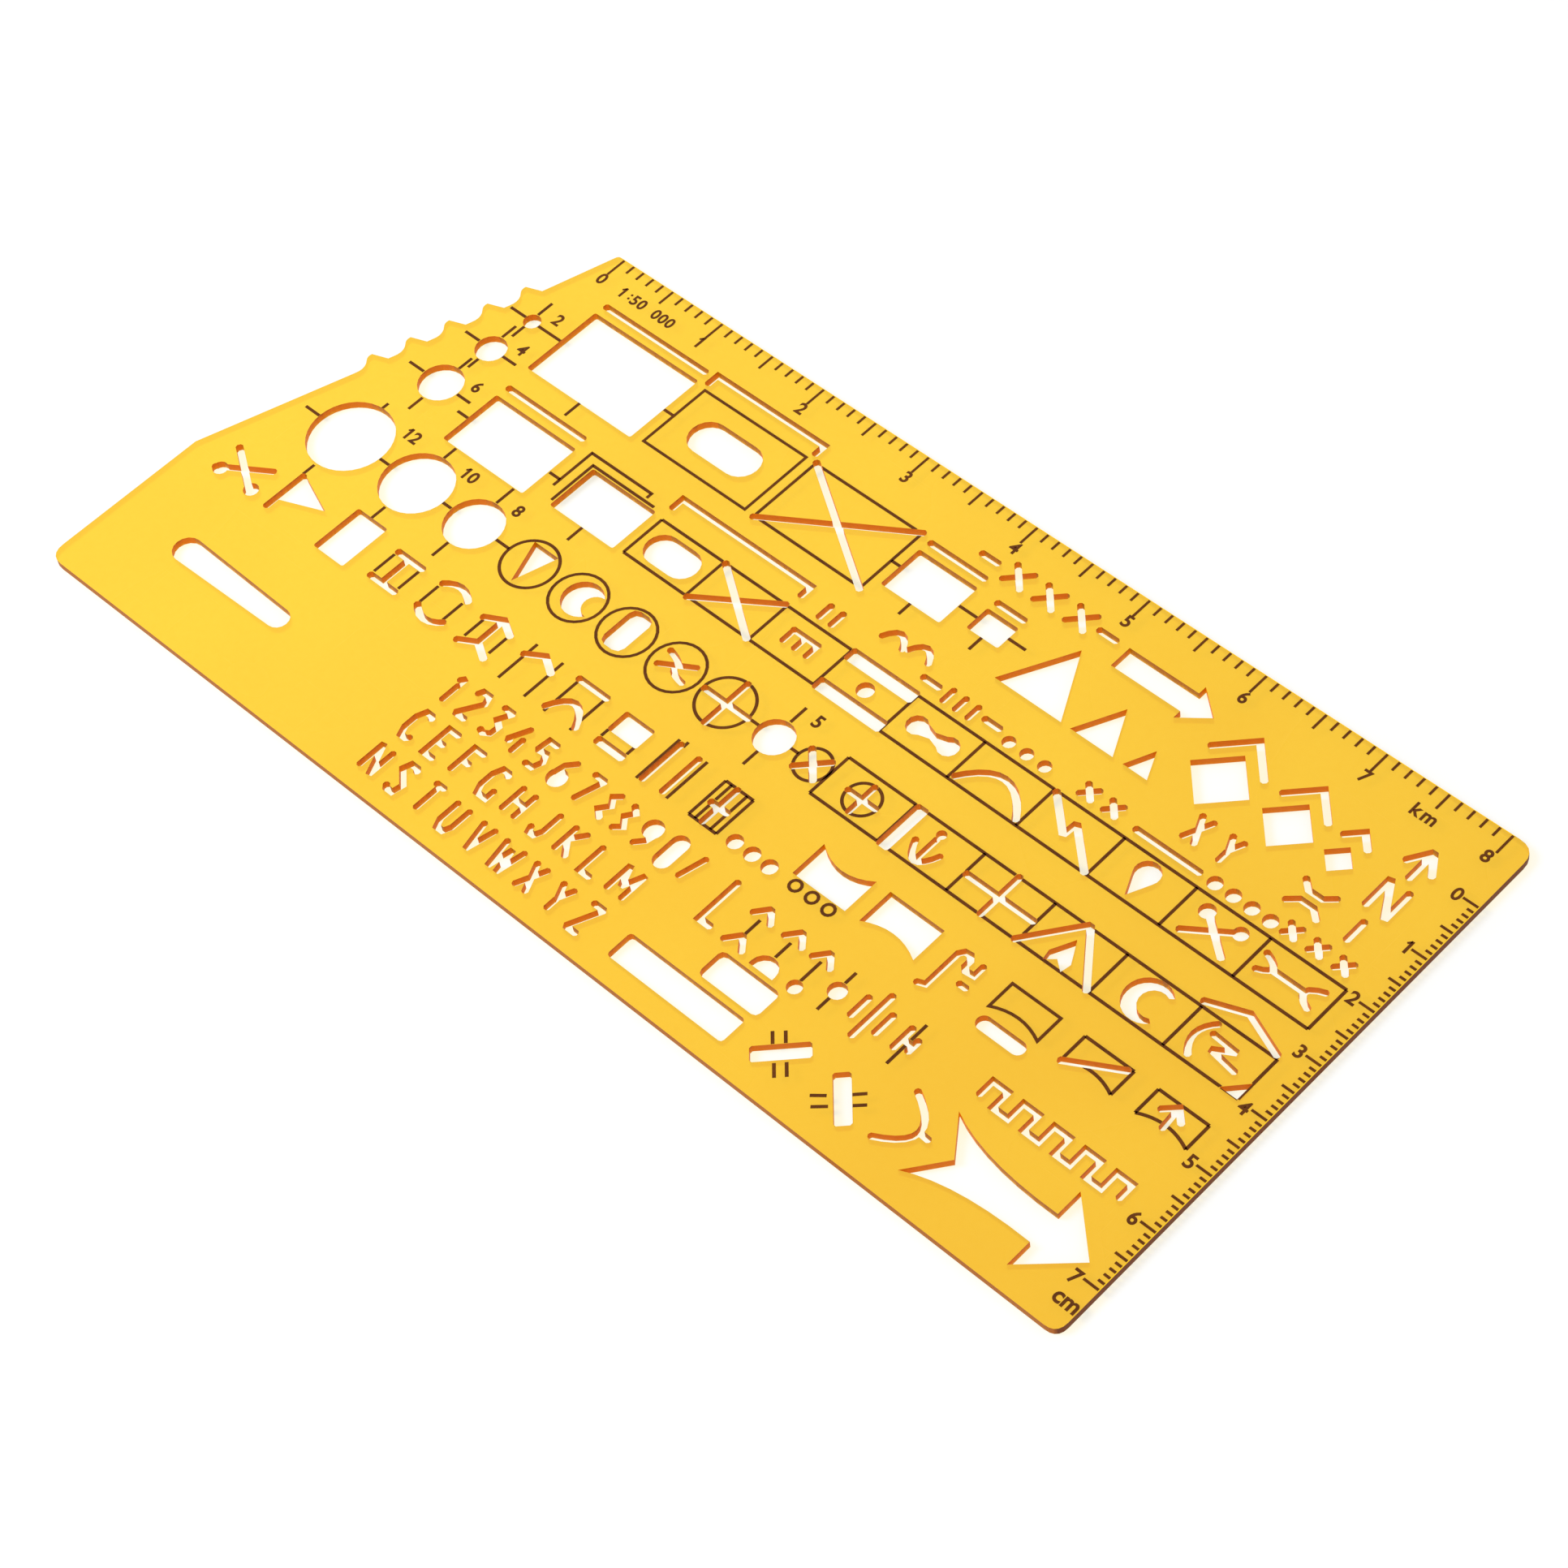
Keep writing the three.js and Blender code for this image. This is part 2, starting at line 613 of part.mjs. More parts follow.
function windowSymbol(x, y, { width }) {
  cutRectangle(x, y + 1.05, width, 3.7);
  cutBar(x, y - 2.85, width, 1.4);
}

function gridSlots(x, y) {
  cutBar(x, y - 0.5, 3.8);
  cutBar(x - 0.1, y - 0.2, PENCIL_SLOT, 7.3);
}

// Flag with one curved side: sag bends its top edge down, arch bends its foot up
function flagOutline(x, y, { width, top, foot, sag = 0, arch = 0 }) {
  const w = width / 2;
  const upper = sag ? bow([w, top], [0, top - sag], [-w, top], 8) : [[w, top], [-w, top]];
  const lower = arch ? bow([-w, foot], [0, foot + arch], [w, foot], 8) : [[-w, foot], [w, foot]];
  return about(x, y, [...upper, ...lower]);
}

function flagHole(x, y, flag) {
  cutShape(flagOutline(x, y, flag));
  flag.dots?.forEach((dot, i) => printRing(`dot_ring_print_${i + 1}`, x + dot, y - 3.0, 0.85));
}

function hookSymbol(x, y, { width }) {
  const w = width / 2;
  const stem = [[-w, -3.9], [1.5 - w, -3.3], [1.5 - w, 2.6]];
  const crook = [[-0.95, 3.3], [-0.1, 3.4], [0.5, 2.7], [0.5, 1.75], [1.0, 1.25], [w - 0.6, 1.4]];
  cutStroke(about(x, y, [...stem, ...crook, [w - 0.6, 3.5]]), FINE_SLOT);
  cutBar(x + w - 0.7, y - 0.6, 1.9, FINE_SLOT);
}

const flagSigns = {
  slot: (x, y) => cutStadium(x, y - 2.9, 7.8, 2.2),
  slash: (x, y) => cutStroke(about(x, y, [[-4.2, -1.1], [3.8, 3.4]])),
  arrow: (x, y) => {
    cutStroke(about(x, y, [[-2.1, 1.4], [-0.2, 3.2], [1.7, 1.4]]), FINE_SLOT);
    cutStroke(about(x, y, [[-0.2, 3.0], [0.1, -0.6]]), FINE_SLOT);
  },
};

function flagSign(x, y, flag) {
  flag.sign(x, y);
  if (flag.print) printLoop(flag.print, flagOutline(x, y, flag));
}

const fourthRowSymbols = [
  { draw: crossedTools, gap: -17.3, width: 8.1 },
  { draw: pennant, gap: 3.0, width: 7.8 },
  { draw: tallRectangle, gap: 3.3, width: 6.0, height: 8.4, rise: -0.3 },
  { draw: beamSymbol, gap: 3.7, width: 5.8 },
  { draw: barrelSymbol, gap: 3.2, width: 5.8 },
  { draw: roofedBeamSymbol, gap: 2.8, width: 6.1 },
  { draw: roofSymbol, gap: 2.8, width: 6.1 },
  { draw: archSymbol, gap: 2.7, width: 6.2 },
  { draw: windowSymbol, gap: 3.1, width: 5.4 },
  { draw: uprightBar, gap: 3.565, width: PENCIL_SLOT, height: 8.0 },
  { draw: uprightBar, gap: 2.43, width: PENCIL_SLOT, height: 7.5 },
  { draw: gridSlots, gap: 4.465, width: 5.0 },
  { draw: roundHole, gap: 1.7, width: 2.4, rise: -3.0 },
  { draw: roundHole, gap: 0.7, width: 2.4, rise: -3.0 },
  { draw: roundHole, gap: 0.7, width: 2.4, rise: -3.0 },
  { draw: flagHole, gap: 1.7, width: 9.2, top: 4.0, foot: -1.8, sag: 1.6, dots: [-2.9, 0, 2.9] },
  { draw: flagHole, gap: 2.4, width: 9.3, top: 4.0, foot: -1.7, arch: 1.3 },
  { draw: hookSymbol, gap: 2.1, width: 5.9 },
  { draw: flagSign, gap: 3.8, width: 8.0, top: 3.6, foot: -0.7, arch: 1.0, sign: flagSigns.slot,
    print: "slot_flag_print" },
  { draw: flagSign, gap: 3.8, width: 8.0, sign: flagSigns.slash },
  { draw: flagSign, gap: 3.8, width: 8.0, sign: flagSigns.arrow },
];

// Strokes of the stencil glyphs, in a box one unit wide and high. The sheet inside a closed
// counter would fall out, so 4 and 8 are bridged, and 6, 9 and 0 are open rounds.
const glyphs = {
  1: [[[0.3, 0.8], [0.65, 1], [0.65, 0]]],
  2: [[[0, 0.78], [0.22, 1], [0.78, 1], [1, 0.72], [0, 0], [1, 0]]],
  3: [[[0, 1], [0.95, 1], [0.45, 0.58], [0.95, 0.42], [0.9, 0.12], [0.5, 0], [0, 0.08]]],
  4: [[[0.75, 1], [0, 0.3], [0.4, 0.3]], [[0.85, 0.62], [0.85, 0]]],
  5: [[[1, 1], [0.15, 1], [0.05, 0.58], [0.7, 0.62], [1, 0.36], [0.75, 0.05], [0, 0.05]]],
  6: [[[0.9, 1], [0.25, 0.68], [0.1, 0.35]]],
  7: [[[0, 1], [1, 1], [0.35, 0]]],
  8: [[[0.75, 1], [0.2, 0.78], [0.6, 0.53], [0.1, 0.25], [0.75, 0]],
    [[1.55, 1], [2.1, 0.78], [1.7, 0.53], [2.2, 0.25], [1.55, 0]]],
  9: [[[0.9, 0.65], [0.75, 0.32], [0.1, 0]]],
  0: [],
  "/": [[[0, 0], [0.55, 1]]],
  C: [[[1, 0.85], [0.7, 1], [0.25, 1], [0, 0.72], [0, 0.28], [0.25, 0], [0.7, 0], [1, 0.15]]],
  E: [[[1, 1], [0, 1], [0, 0], [1, 0]], [[0, 0.5], [0.8, 0.5]]],
  F: [[[1, 1], [0, 1], [0, 0]], [[0, 0.5], [0.8, 0.5]]],
  G: [[[1, 0.85], [0.7, 1], [0.25, 1], [0, 0.72], [0, 0.28], [0.25, 0], [1, 0], [1, 0.4]]],
  H: [[[0, 0], [0, 1]], [[1, 0], [1, 1]], [[0, 0.5], [1, 0.5]]],
  J: [[[0.9, 1], [0.9, 0.25], [0.65, 0], [0.2, 0], [0, 0.25]]],
  K: [[[0, 0], [0, 1]], [[1, 1], [0.15, 0.5], [1, 0]]],
  L: [[[0, 1], [0, 0], [1, 0]]],
  M: [[[-0.1, 0], [-0.1, 1], [0.5, 0.35], [1.1, 1], [1.1, 0]]],
  N: [[[0, 0], [0, 1], [1, 0], [1, 1]]],
  S: [[[1, 0.85], [0.7, 1], [0.2, 1], [0, 0.75], [0.95, 0.35], [0.8, 0], [0.3, 0], [0, 0.15]]],
  T: [[[0, 1], [1, 1]], [[0.5, 1], [0.5, 0]]],
  U: [[[0, 1], [0, 0.25], [0.25, 0], [0.75, 0], [1, 0.25], [1, 1]]],
  V: [[[0, 1], [0.5, 0], [1, 1]]],
  W: [[[-0.25, 1], [0.15, 0], [0.5, 0.8], [0.85, 0], [1.25, 1]]],
  X: [[[0, 0], [1, 1]], [[0, 1], [1, 0]]],
  Y: [[[0, 1], [0.5, 0.5], [1, 1]], [[0.5, 0.5], [0.5, 0]]],
  Z: [[[0, 1], [1, 1], [0, 0], [1, 0]]],
};

// Open rounds of the glyphs: centre, width and height in the same unit box
const glyphRounds = {
  6: [0.5, 0.25, 1.35, 0.66],
  9: [0.5, 0.72, 1.35, 0.66],
  0: [0.5, 0.5, 1.25, 1.25],
};

function cutGlyph(name, left, y) {
  const width = GLYPH_WIDTH - PENCIL_SLOT;
  const height = GLYPH_HEIGHT - PENCIL_SLOT;
  const place = ([u, v]) => [left + u * width, y + (v - 0.5) * height];
  for (const stroke of glyphs[name]) cutStroke(stroke.map(place), FINE_SLOT);
  const round = glyphRounds[name];
  if (round) {
    const [x, middle] = place(round);
    const w = round[2] * width;
    const h = round[3] * height;
    cuts.push(rectangleOutline(x, middle, w, h, Math.min(w, h) / 2, 5));
  }
}

// Row of glyphs. The bridged 8 is made of two halves, so it takes more room.
function cutText(text, start, y, pitch) {
  let x = start;
  for (const letter of text) {
    cutGlyph(letter, x, y);
    x += pitch + (letter === "8" ? WIDE_DIGIT_EXTRA : 0);
  }
  return x;
}

// Bridge sign and the pair of capitals under the diamonds, placed from the first row
function bridgeSign(x, y) {
  for (const side of [1, -1]) {
    const deck = [[-2.8, 2.3], [-1.1, 0.85], [1.1, 0.85], [2.8, 2.3]];
    cutStroke(about(x, y, deck.map(([dx, dy]) => [dx, dy * side])), FINE_SLOT);
  }
}

// Graphic signs to the right of the digits
function elbow(x, y, { width }) {
  const left = x - width / 2 + PENCIL_SLOT / 2;
  cutStroke([[left, y + 4.1], [left, y - 3.3], [x + width / 2, y - 3.3]]);
}

const arrowFeet = {
  barbs: (x, y) => cutStroke(about(x, y, [[-1.85, -3.8], [0, -1.6], [1.85, -3.8]]), FINE_SLOT),
  dome: (x, y) => {
    const dome = arcPoints(0, -3.6, 2.05, 0, Math.PI, 8);
    cutShape(about(x, y, [...dome, [-2.05, -4.1], [2.05, -4.1]]));
  },
  dot: (x, y) => cutDisc(x, y - 3.0, 1.1),
};

function signalArrow(x, y, { foot }) {
  cutStroke(about(x, y, [[-1.8, 1.4], [0, 3.5], [1.8, 1.4]]), FINE_SLOT);
  foot(x, y);
}

function splitBars(x, y, { width, height, shortHeight }) {
  const offset = (width - PENCIL_SLOT) / 2;
  cutBar(x - offset, y + 0.2, PENCIL_SLOT, height);
  cutBar(x + offset, y + 0.1, PENCIL_SLOT, shortHeight);
  cutBar(x, y + 0.05, 2 * offset, FINE_SLOT);
}

function squareWave(x, y, { width, pulses, rise, height }) {
  const step = (width - FINE_SLOT) / (2 * pulses - 1);
  const path = [];
  for (let i = 0; i < 2 * pulses; i++) {
    const px = x - width / 2 + FINE_SLOT / 2 + i * step;
    const high = y + rise + height;
    const low = y + rise;
    path.push(...(i % 2 ? [[px, high], [px, low]] : [[px, low], [px, high]]));
  }
  cutStroke(path, FINE_SLOT);
}

const signRowSymbols = [
  { draw: elbow, gap: 1.95, width: 2.9 },
  { draw: signalArrow, gap: 2.0, width: 3.6, foot: arrowFeet.barbs },
  { draw: signalArrow, gap: 1.9, width: 3.6, foot: arrowFeet.dome },
  { draw: signalArrow, gap: 1.3, width: 3.6, foot: arrowFeet.dot },
  { draw: roundHole, gap: 1.35, width: 2.7 },
  { draw: uprightBar, gap: 1.815, width: PENCIL_SLOT, height: 4.1, rise: 0.15 },
  { draw: uprightBar, gap: 1.03, width: PENCIL_SLOT, height: 8.2, rise: 0.1 },
  { draw: uprightBar, gap: 0.93, width: PENCIL_SLOT, height: 4.1, rise: 0.15 },
  { draw: splitBars, gap: 2.065, width: 2.9, height: 4.3, shortHeight: 2.7 },
  { draw: squareWave, gap: 9.8, width: 23.4, pulses: 5, rise: -0.1, height: 2.8 },
];

// Signs to the right of the letters: two plates, two slanted slots, an arc and a swept arrow
function plate(x, y, { width, height, radius, rise }) {
  cutRectangle(x, y + rise, width, height, radius);
}

function slantedSlot(x, y, { width, height, slot, rise }) {
  const w = width / 2;
  const h = height / 2;
  cutStroke(about(x, y + rise, [[-w, -h], [w, h]]), slot);
}

function arcWithLead(x, y, { width, height, lead, rise }) {
  const w = width / 2;
  const h = height / 2;
  const peak = w - lead;
  cutStroke(bow(...about(x, y + rise, [[-w, h], [peak, 0], [-w, -h]]), 10), FINE_SLOT);
  cutStroke(about(x, y + rise, [[peak, 0], [w, -0.1]]), FINE_SLOT);
}

function sweptArrow(x, y, { width, rise, tailWidth, notch, waist, neck, headWidth }) {
  const sweep = [neck * 0.42, waist * 0.62];
  const upper = bow([0, tailWidth / 2], sweep, [neck, waist / 2], 7);
  const half = [...upper, [neck, headWidth / 2]];
  const mirrored = half.map(([px, py]) => [px, -py]).reverse();
  cutShape(about(x - width / 2, y + rise, [...half, [width, 0], ...mirrored, [notch, 0]]));
}

const letterRowSigns = [{ draw: plate, gap: 13.05, width: 10.3, height: 4.5, radius: 0.8, rise: -1.6 }];

const lastLetterRowSigns = [
  { draw: plate, gap: 2.25, width: 20.4, height: 4.3, radius: 0.5, rise: 0.05 },
  { draw: slantedSlot, gap: 3.85, width: 5.5, height: 5.5, slot: 2.35, rise: 1.65 },
  { draw: slantedSlot, gap: 5.05, width: 5.4, height: -5.4, slot: 2.35, rise: 1.65 },
  { draw: arcWithLead, gap: 3.2, width: 6.4, height: 8.6, lead: 1.9, rise: 4.2 },
  { draw: sweptArrow, gap: -0.3, width: 25.8, rise: 4.1, tailWidth: 10.7, notch: 4.2, waist: 4.9,
    neck: 18.6, headWidth: 12.9 },
];

// Long tapered hanging slot near the lower left corner
const hangSlot = { x: -8.25, drop: 6.75, length: 19.1, leftRadius: 2.15, rightRadius: 1.7 };

function taperedSlot(x, y, { length, leftRadius, rightRadius }) {
  const quarter = Math.PI / 2;
  const rightEnd = arcPoints(length, 0, rightRadius, -quarter, quarter, 8);
  const leftEnd = arcPoints(0, 0, leftRadius, quarter, 3 * quarter, 8);
  cutShape(about(x, y, [...rightEnd, ...leftEnd]));
}

// Three small circle holes beside the slanted edge
const edgeCircles = [
  { x: -1.85, rise: -0.1, width: 2.7 },
  { x: -2.65, rise: -7.4, width: 4.8 },
  { x: -3.5, rise: -16.3, width: 6.8 },
];

function drawSheetLayout() {
  for (const circle of edgeCircles) circleHole(circle.x, firstRow + circle.rise, circle);
  drawRow(0, firstRow, firstRowSymbols);
  drawRow(0, topMarksRow, topMarks);
  drawRow(0, smallRow, smallRowSymbols);
  const capitalsEnd = cutText("XY", CAPITALS_START, smallRow + CAPITALS_LIFT, CAPITALS_PITCH);
  bridgeSign(capitalsEnd + BRIDGE_GAP, smallRow + BRIDGE_LIFT);

  drawRow(0, secondRow, secondRowSymbols);
  reach(FIRST_CELL_START + secondRowCells.length * CELL_PITCH);
  secondRowCells.forEach((sign, i) => sign(FIRST_CELL_START + (i + 0.5) * CELL_PITCH, secondRow));

  const cellsStart = drawRow(0, circleRow, circleRowSymbols) + CELL_GAP;
  reach(cellsStart + thirdRowCells.length * CELL_PITCH);
  thirdRowCells.forEach((sign, i) => sign(cellsStart + (i + 0.5) * CELL_PITCH, circleRow));

  drawRow(0, fourthRow, fourthRowSymbols);
  const digitsEnd = cutText("1234567890/", DIGIT_START, digitRow, DIGIT_PITCH);
  drawRow(digitsEnd, digitRow - SIGN_ROW_DROP, signRowSymbols);
  const lettersEnd = cutText("CEFGHJKLM", LETTER_START, letterRow, LETTER_PITCH);
  drawRow(lettersEnd, letterRow, letterRowSigns);
  const lastLettersEnd = cutText("NSTUVWXYZ", LETTER_START, lastLetterRow, LETTER_PITCH);
  drawRow(lastLettersEnd, lastLetterRow, lastLetterRowSigns);
  taperedSlot(hangSlot.x, digitRow - hangSlot.drop, hangSlot);
}

drawSheetLayout();

// Sheet outline
const sheetRight = Math.max(rightmost + RIGHT_MARGIN, KM_COUNT * KM_DIVISION + SCALE_END_MARGIN);
const sheetBottom = lastLetterRow - GLYPH_HEIGHT / 2 - BOTTOM_MARGIN;
const sheetLeft = -LEFT_REACH;

function slantX(y) {
  return -SLANT_START + (y / SLANT_END_DROP) * (LEFT_REACH - SLANT_START);
}

function sheetOutline() {
  const outline = new THREE.Path();
  outline.moveTo(-SLANT_START + TOP_LEFT_RADIUS, 0);
  outline.quadraticCurveTo(-SLANT_START, 0, slantX(-TOP_LEFT_RADIUS), -TOP_LEFT_RADIUS);
  for (let i = 0; i < TOOTH_COUNT; i++) {
    const root = -FIRST_TOOTH_DROP - i * TOOTH_PITCH + TOOTH_FLANK;
    const crest = root - TOOTH_FLANK;
    const crestEnd = crest - TOOTH_CREST;
    const hollow = crest - TOOTH_HOLLOW;
    outline.lineTo(slantX(root) + TOOTH_ROOT_DEPTH, root);
    const tip = slantX(crest) - TOOTH_REACH;
    const tipEnd = slantX(crestEnd) - TOOTH_REACH;
    outline.lineTo(tip, crest);
    outline.quadraticCurveTo(
      tip - TOOTH_NOSE, crestEnd,
      tipEnd + TOOTH_EASE, crestEnd - TOOTH_EASE_DROP,
    );
    outline.quadraticCurveTo(
      slantX(crestEnd) - TOOTH_NOSE, (crestEnd + hollow) / 2,
      slantX(hollow) + TOOTH_ROOT_DEPTH, hollow,
    );
  }
  outline.lineTo(sheetLeft, -SLANT_END_DROP);
  outline.lineTo(sheetLeft, sheetBottom + BOTTOM_LEFT_RADIUS);
  outline.quadraticCurveTo(sheetLeft, sheetBottom, sheetLeft + BOTTOM_LEFT_RADIUS, sheetBottom);
  outline.lineTo(sheetRight - BOTTOM_RIGHT_RADIUS, sheetBottom);
  outline.quadraticCurveTo(sheetRight, sheetBottom, sheetRight, sheetBottom + BOTTOM_RIGHT_RADIUS);
  outline.lineTo(sheetRight, -TOP_RIGHT_RADIUS);
  outline.quadraticCurveTo(sheetRight, 0, sheetRight - TOP_RIGHT_RADIUS, 0);
  outline.closePath();
  return closedShape(outline.getPoints(5));
}

// Printed scales: ticks of three lengths that stand on a thin base line along an edge
function tickLength(step, steps, full, half, short) {
  if (step % steps === 0) return full;
  return step % (steps / 2) === 0 ? half : short;
}

// Comb of ticks as one outline. lengthOf gives each tick's length, and place puts a point,
// given by its distance along the edge and in from it, on the sheet.
function combShape(ticks, pitch, lengthOf, place) {
  const half = TICK_WIDTH / 2;
  const base = TICK_EDGE_GAP + SCALE_BASE_LINE;
  const points = [[-half, TICK_EDGE_GAP]];
  for (let step = 0; step <= ticks; step++) {
    const along = step * pitch;
    const tip = TICK_EDGE_GAP + lengthOf(step);
    if (step > 0) points.push([along - half, base]);
    points.push([along - half, tip], [along + half, tip]);
    if (step < ticks) points.push([along + half, base]);
  }
  points.push([ticks * pitch + half, TICK_EDGE_GAP]);
  return closedShape(points.map(([along, inward]) => place(along, inward)));
}

function kilometreScale() {
  const lengthOf = (step) => tickLength(step, KM_STEPS, KM_FULL_TICK, KM_HALF_TICK, KM_TICK);
  const place = (along, inward) => new THREE.Vector2(along, -inward);
  return [combShape(KM_COUNT * KM_STEPS, KM_DIVISION / KM_STEPS, lengthOf, place)];
}

function centimetreScale() {
  const lengthOf = (step) => tickLength(step, CM_STEPS, CM_FULL_TICK, CM_HALF_TICK, CM_TICK);
  const place = (along, inward) => new THREE.Vector2(sheetRight - inward, -CM_ZERO_DROP - along);
  return [combShape(CM_COUNT * CM_STEPS, CM_DIVISION / CM_STEPS, lengthOf, place)];
}

// Solids
function toManifold(geometry) {
  const bare = geometry.clone();
  bare.deleteAttribute("normal");
  bare.deleteAttribute("uv");
  const merged = mergeVertices(bare, WELD_DISTANCE);
  const vertProperties = new Float32Array(merged.attributes.position.array);
  const triVerts = new Uint32Array(merged.index.array);
  return new wasm.Manifold(new wasm.Mesh({ numProp: 3, vertProperties, triVerts }));
}

function extrudeAll(shapes, bottom, top) {
  return shapes
    .map((shape) => {
      const options = { depth: top - bottom, bevelEnabled: false, curveSegments: 1 };
      const geometry = new THREE.ExtrudeGeometry(shape, options);
      geometry.translate(0, 0, bottom);
      return toManifold(geometry);
    })
    .reduce((joined, solid) => joined.add(solid));
}

function toMesh(name, solid, { color, roughness }) {
  const { vertProperties, triVerts, numProp } = solid.getMesh();
  const positions = new Float32Array((vertProperties.length / numProp) * 3);
  for (let i = 0; i < positions.length / 3; i++) {
    for (let axis = 0; axis < 3; axis++) positions[3 * i + axis] = vertProperties[numProp * i + axis];
  }
  const geometry = new THREE.BufferGeometry();
  geometry.setAttribute("position", new THREE.BufferAttribute(positions, 3));
  geometry.setIndex(new THREE.BufferAttribute(new Uint32Array(triVerts), 1));
  const mesh = new THREE.Mesh(geometry, new THREE.MeshStandardMaterial({ color, roughness, metalness: 0 }));
  mesh.name = name;
  return mesh;
}

const AMBER_PLASTIC = { color: 0xf7c62f, roughness: 0.3 };
const DARK_INK = { color: 0x3a2a08, roughness: 0.6 };

const cutters = extrudeAll(cuts, -CUTTER_OVERRUN, SHEET_THICKNESS + CUTTER_OVERRUN);
const blank = extrudeAll([sheetOutline()], 0, SHEET_THICKNESS);
const sheet = blank.subtract(cutters);

const template = new THREE.Group();
template.position.set(-(sheetLeft + sheetRight) / 2, -sheetBottom / 2, 0);
template.add(toMesh("template_sheet", sheet, AMBER_PLASTIC));

// The ink lies in one thin layer on the sheet
function addPrint(name, shapes) {
  const ink = extrudeAll(shapes, SHEET_THICKNESS, SHEET_THICKNESS + PRINT_THICKNESS);
  template.add(toMesh(name, ink, DARK_INK));
}

addPrint("kilometre_scale_print", kilometreScale());
addPrint("centimetre_scale_print", centimetreScale());
for (const [name, shape] of Object.entries(prints)) addPrint(name, [shape]);

export default template;
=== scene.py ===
import math

import bmesh
import bpy
from mathutils import Matrix, Vector
from mathutils.bvhtree import BVHTree


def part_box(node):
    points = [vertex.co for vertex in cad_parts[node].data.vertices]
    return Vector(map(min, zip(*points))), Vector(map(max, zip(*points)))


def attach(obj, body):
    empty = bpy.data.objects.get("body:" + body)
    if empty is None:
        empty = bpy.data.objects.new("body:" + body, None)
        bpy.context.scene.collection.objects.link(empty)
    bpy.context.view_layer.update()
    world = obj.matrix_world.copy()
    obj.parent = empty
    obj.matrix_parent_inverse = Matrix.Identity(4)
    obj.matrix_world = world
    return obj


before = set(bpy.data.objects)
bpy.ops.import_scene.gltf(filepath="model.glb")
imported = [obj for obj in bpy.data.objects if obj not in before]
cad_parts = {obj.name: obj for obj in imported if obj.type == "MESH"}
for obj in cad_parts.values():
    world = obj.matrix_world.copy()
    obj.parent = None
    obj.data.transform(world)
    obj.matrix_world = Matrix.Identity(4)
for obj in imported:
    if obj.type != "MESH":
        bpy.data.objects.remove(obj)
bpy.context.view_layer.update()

MM = 0.001
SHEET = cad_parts["template_sheet"]
low, high = (Vector(corner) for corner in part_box("template_sheet"))
TOP = high.z

# Places on the sheet are in millimetres: x from the zero of the kilometre scale, and y from a
# line half a millimetre outside the kilometre edge.
LEFT_REACH = 22.65
LINE_OUTSIDE = 0.5


def place(x, y):
    return Vector((low.x + (x + LEFT_REACH) * MM, high.y + (y + LINE_OUTSIDE) * MM, TOP))


# Camera
TARGET = place(96.497, -40.031)
AZIMUTH = math.radians(50.086)
ELEVATION = math.radians(52.630)
ROLL = math.radians(-8.589)
DISTANCE = 0.50181
FOCAL_PIXELS = 4838.9
FRAME_PIXELS = 1932
SENSOR = 36.0
NEAREST_SEEN = 0.01
FURTHEST_SEEN = 20

# The photograph's optical centre lies right of its middle and a little above it.
CENTRE_RIGHT_PIXELS = 174.7
CENTRE_DOWN_PIXELS = -13.6


def camera_turn(back):
    """The camera's axes, with its back in the given direction, rolled out of level."""
    level = Vector((0, 0, 1)).cross(back).normalized()
    rise = back.cross(level)
    right = math.cos(ROLL) * level + math.sin(ROLL) * rise
    upward = -math.sin(ROLL) * level + math.cos(ROLL) * rise
    return Matrix((right, upward, back)).transposed().to_4x4()


def add_camera():
    data = bpy.data.cameras.new("camera")
    data.sensor_width = SENSOR
    data.lens = FOCAL_PIXELS / FRAME_PIXELS * SENSOR
    data.shift_x = -CENTRE_RIGHT_PIXELS / FRAME_PIXELS
    data.shift_y = CENTRE_DOWN_PIXELS / FRAME_PIXELS
    data.clip_start = NEAREST_SEEN
    data.clip_end = FURTHEST_SEEN
    camera = bpy.data.objects.new("camera", data)
    bpy.context.collection.objects.link(camera)
    back = Vector((
        math.sin(AZIMUTH) * math.cos(ELEVATION),
        -math.cos(AZIMUTH) * math.cos(ELEVATION),
        math.sin(ELEVATION),
    ))
    camera.matrix_world = Matrix.Translation(TARGET + back * DISTANCE) @ camera_turn(back)
    bpy.context.scene.camera = camera


add_camera()


# Shader nodes
def linear(red, green, blue):
    """A colour with parts from 0 to 255 as a shader colour, by the sRGB curve."""
    def channel(value):
        share = value / 255
        return share / 12.92 if share <= 0.04045 else ((share + 0.055) / 1.055) ** 2.4

    return (channel(red), channel(green), channel(blue), 1.0)


# sockets of the node that mixes colours
MIX_SHARE = 0
MIX_FIRST = 6
MIX_SECOND = 7
MIX_RESULT = 2


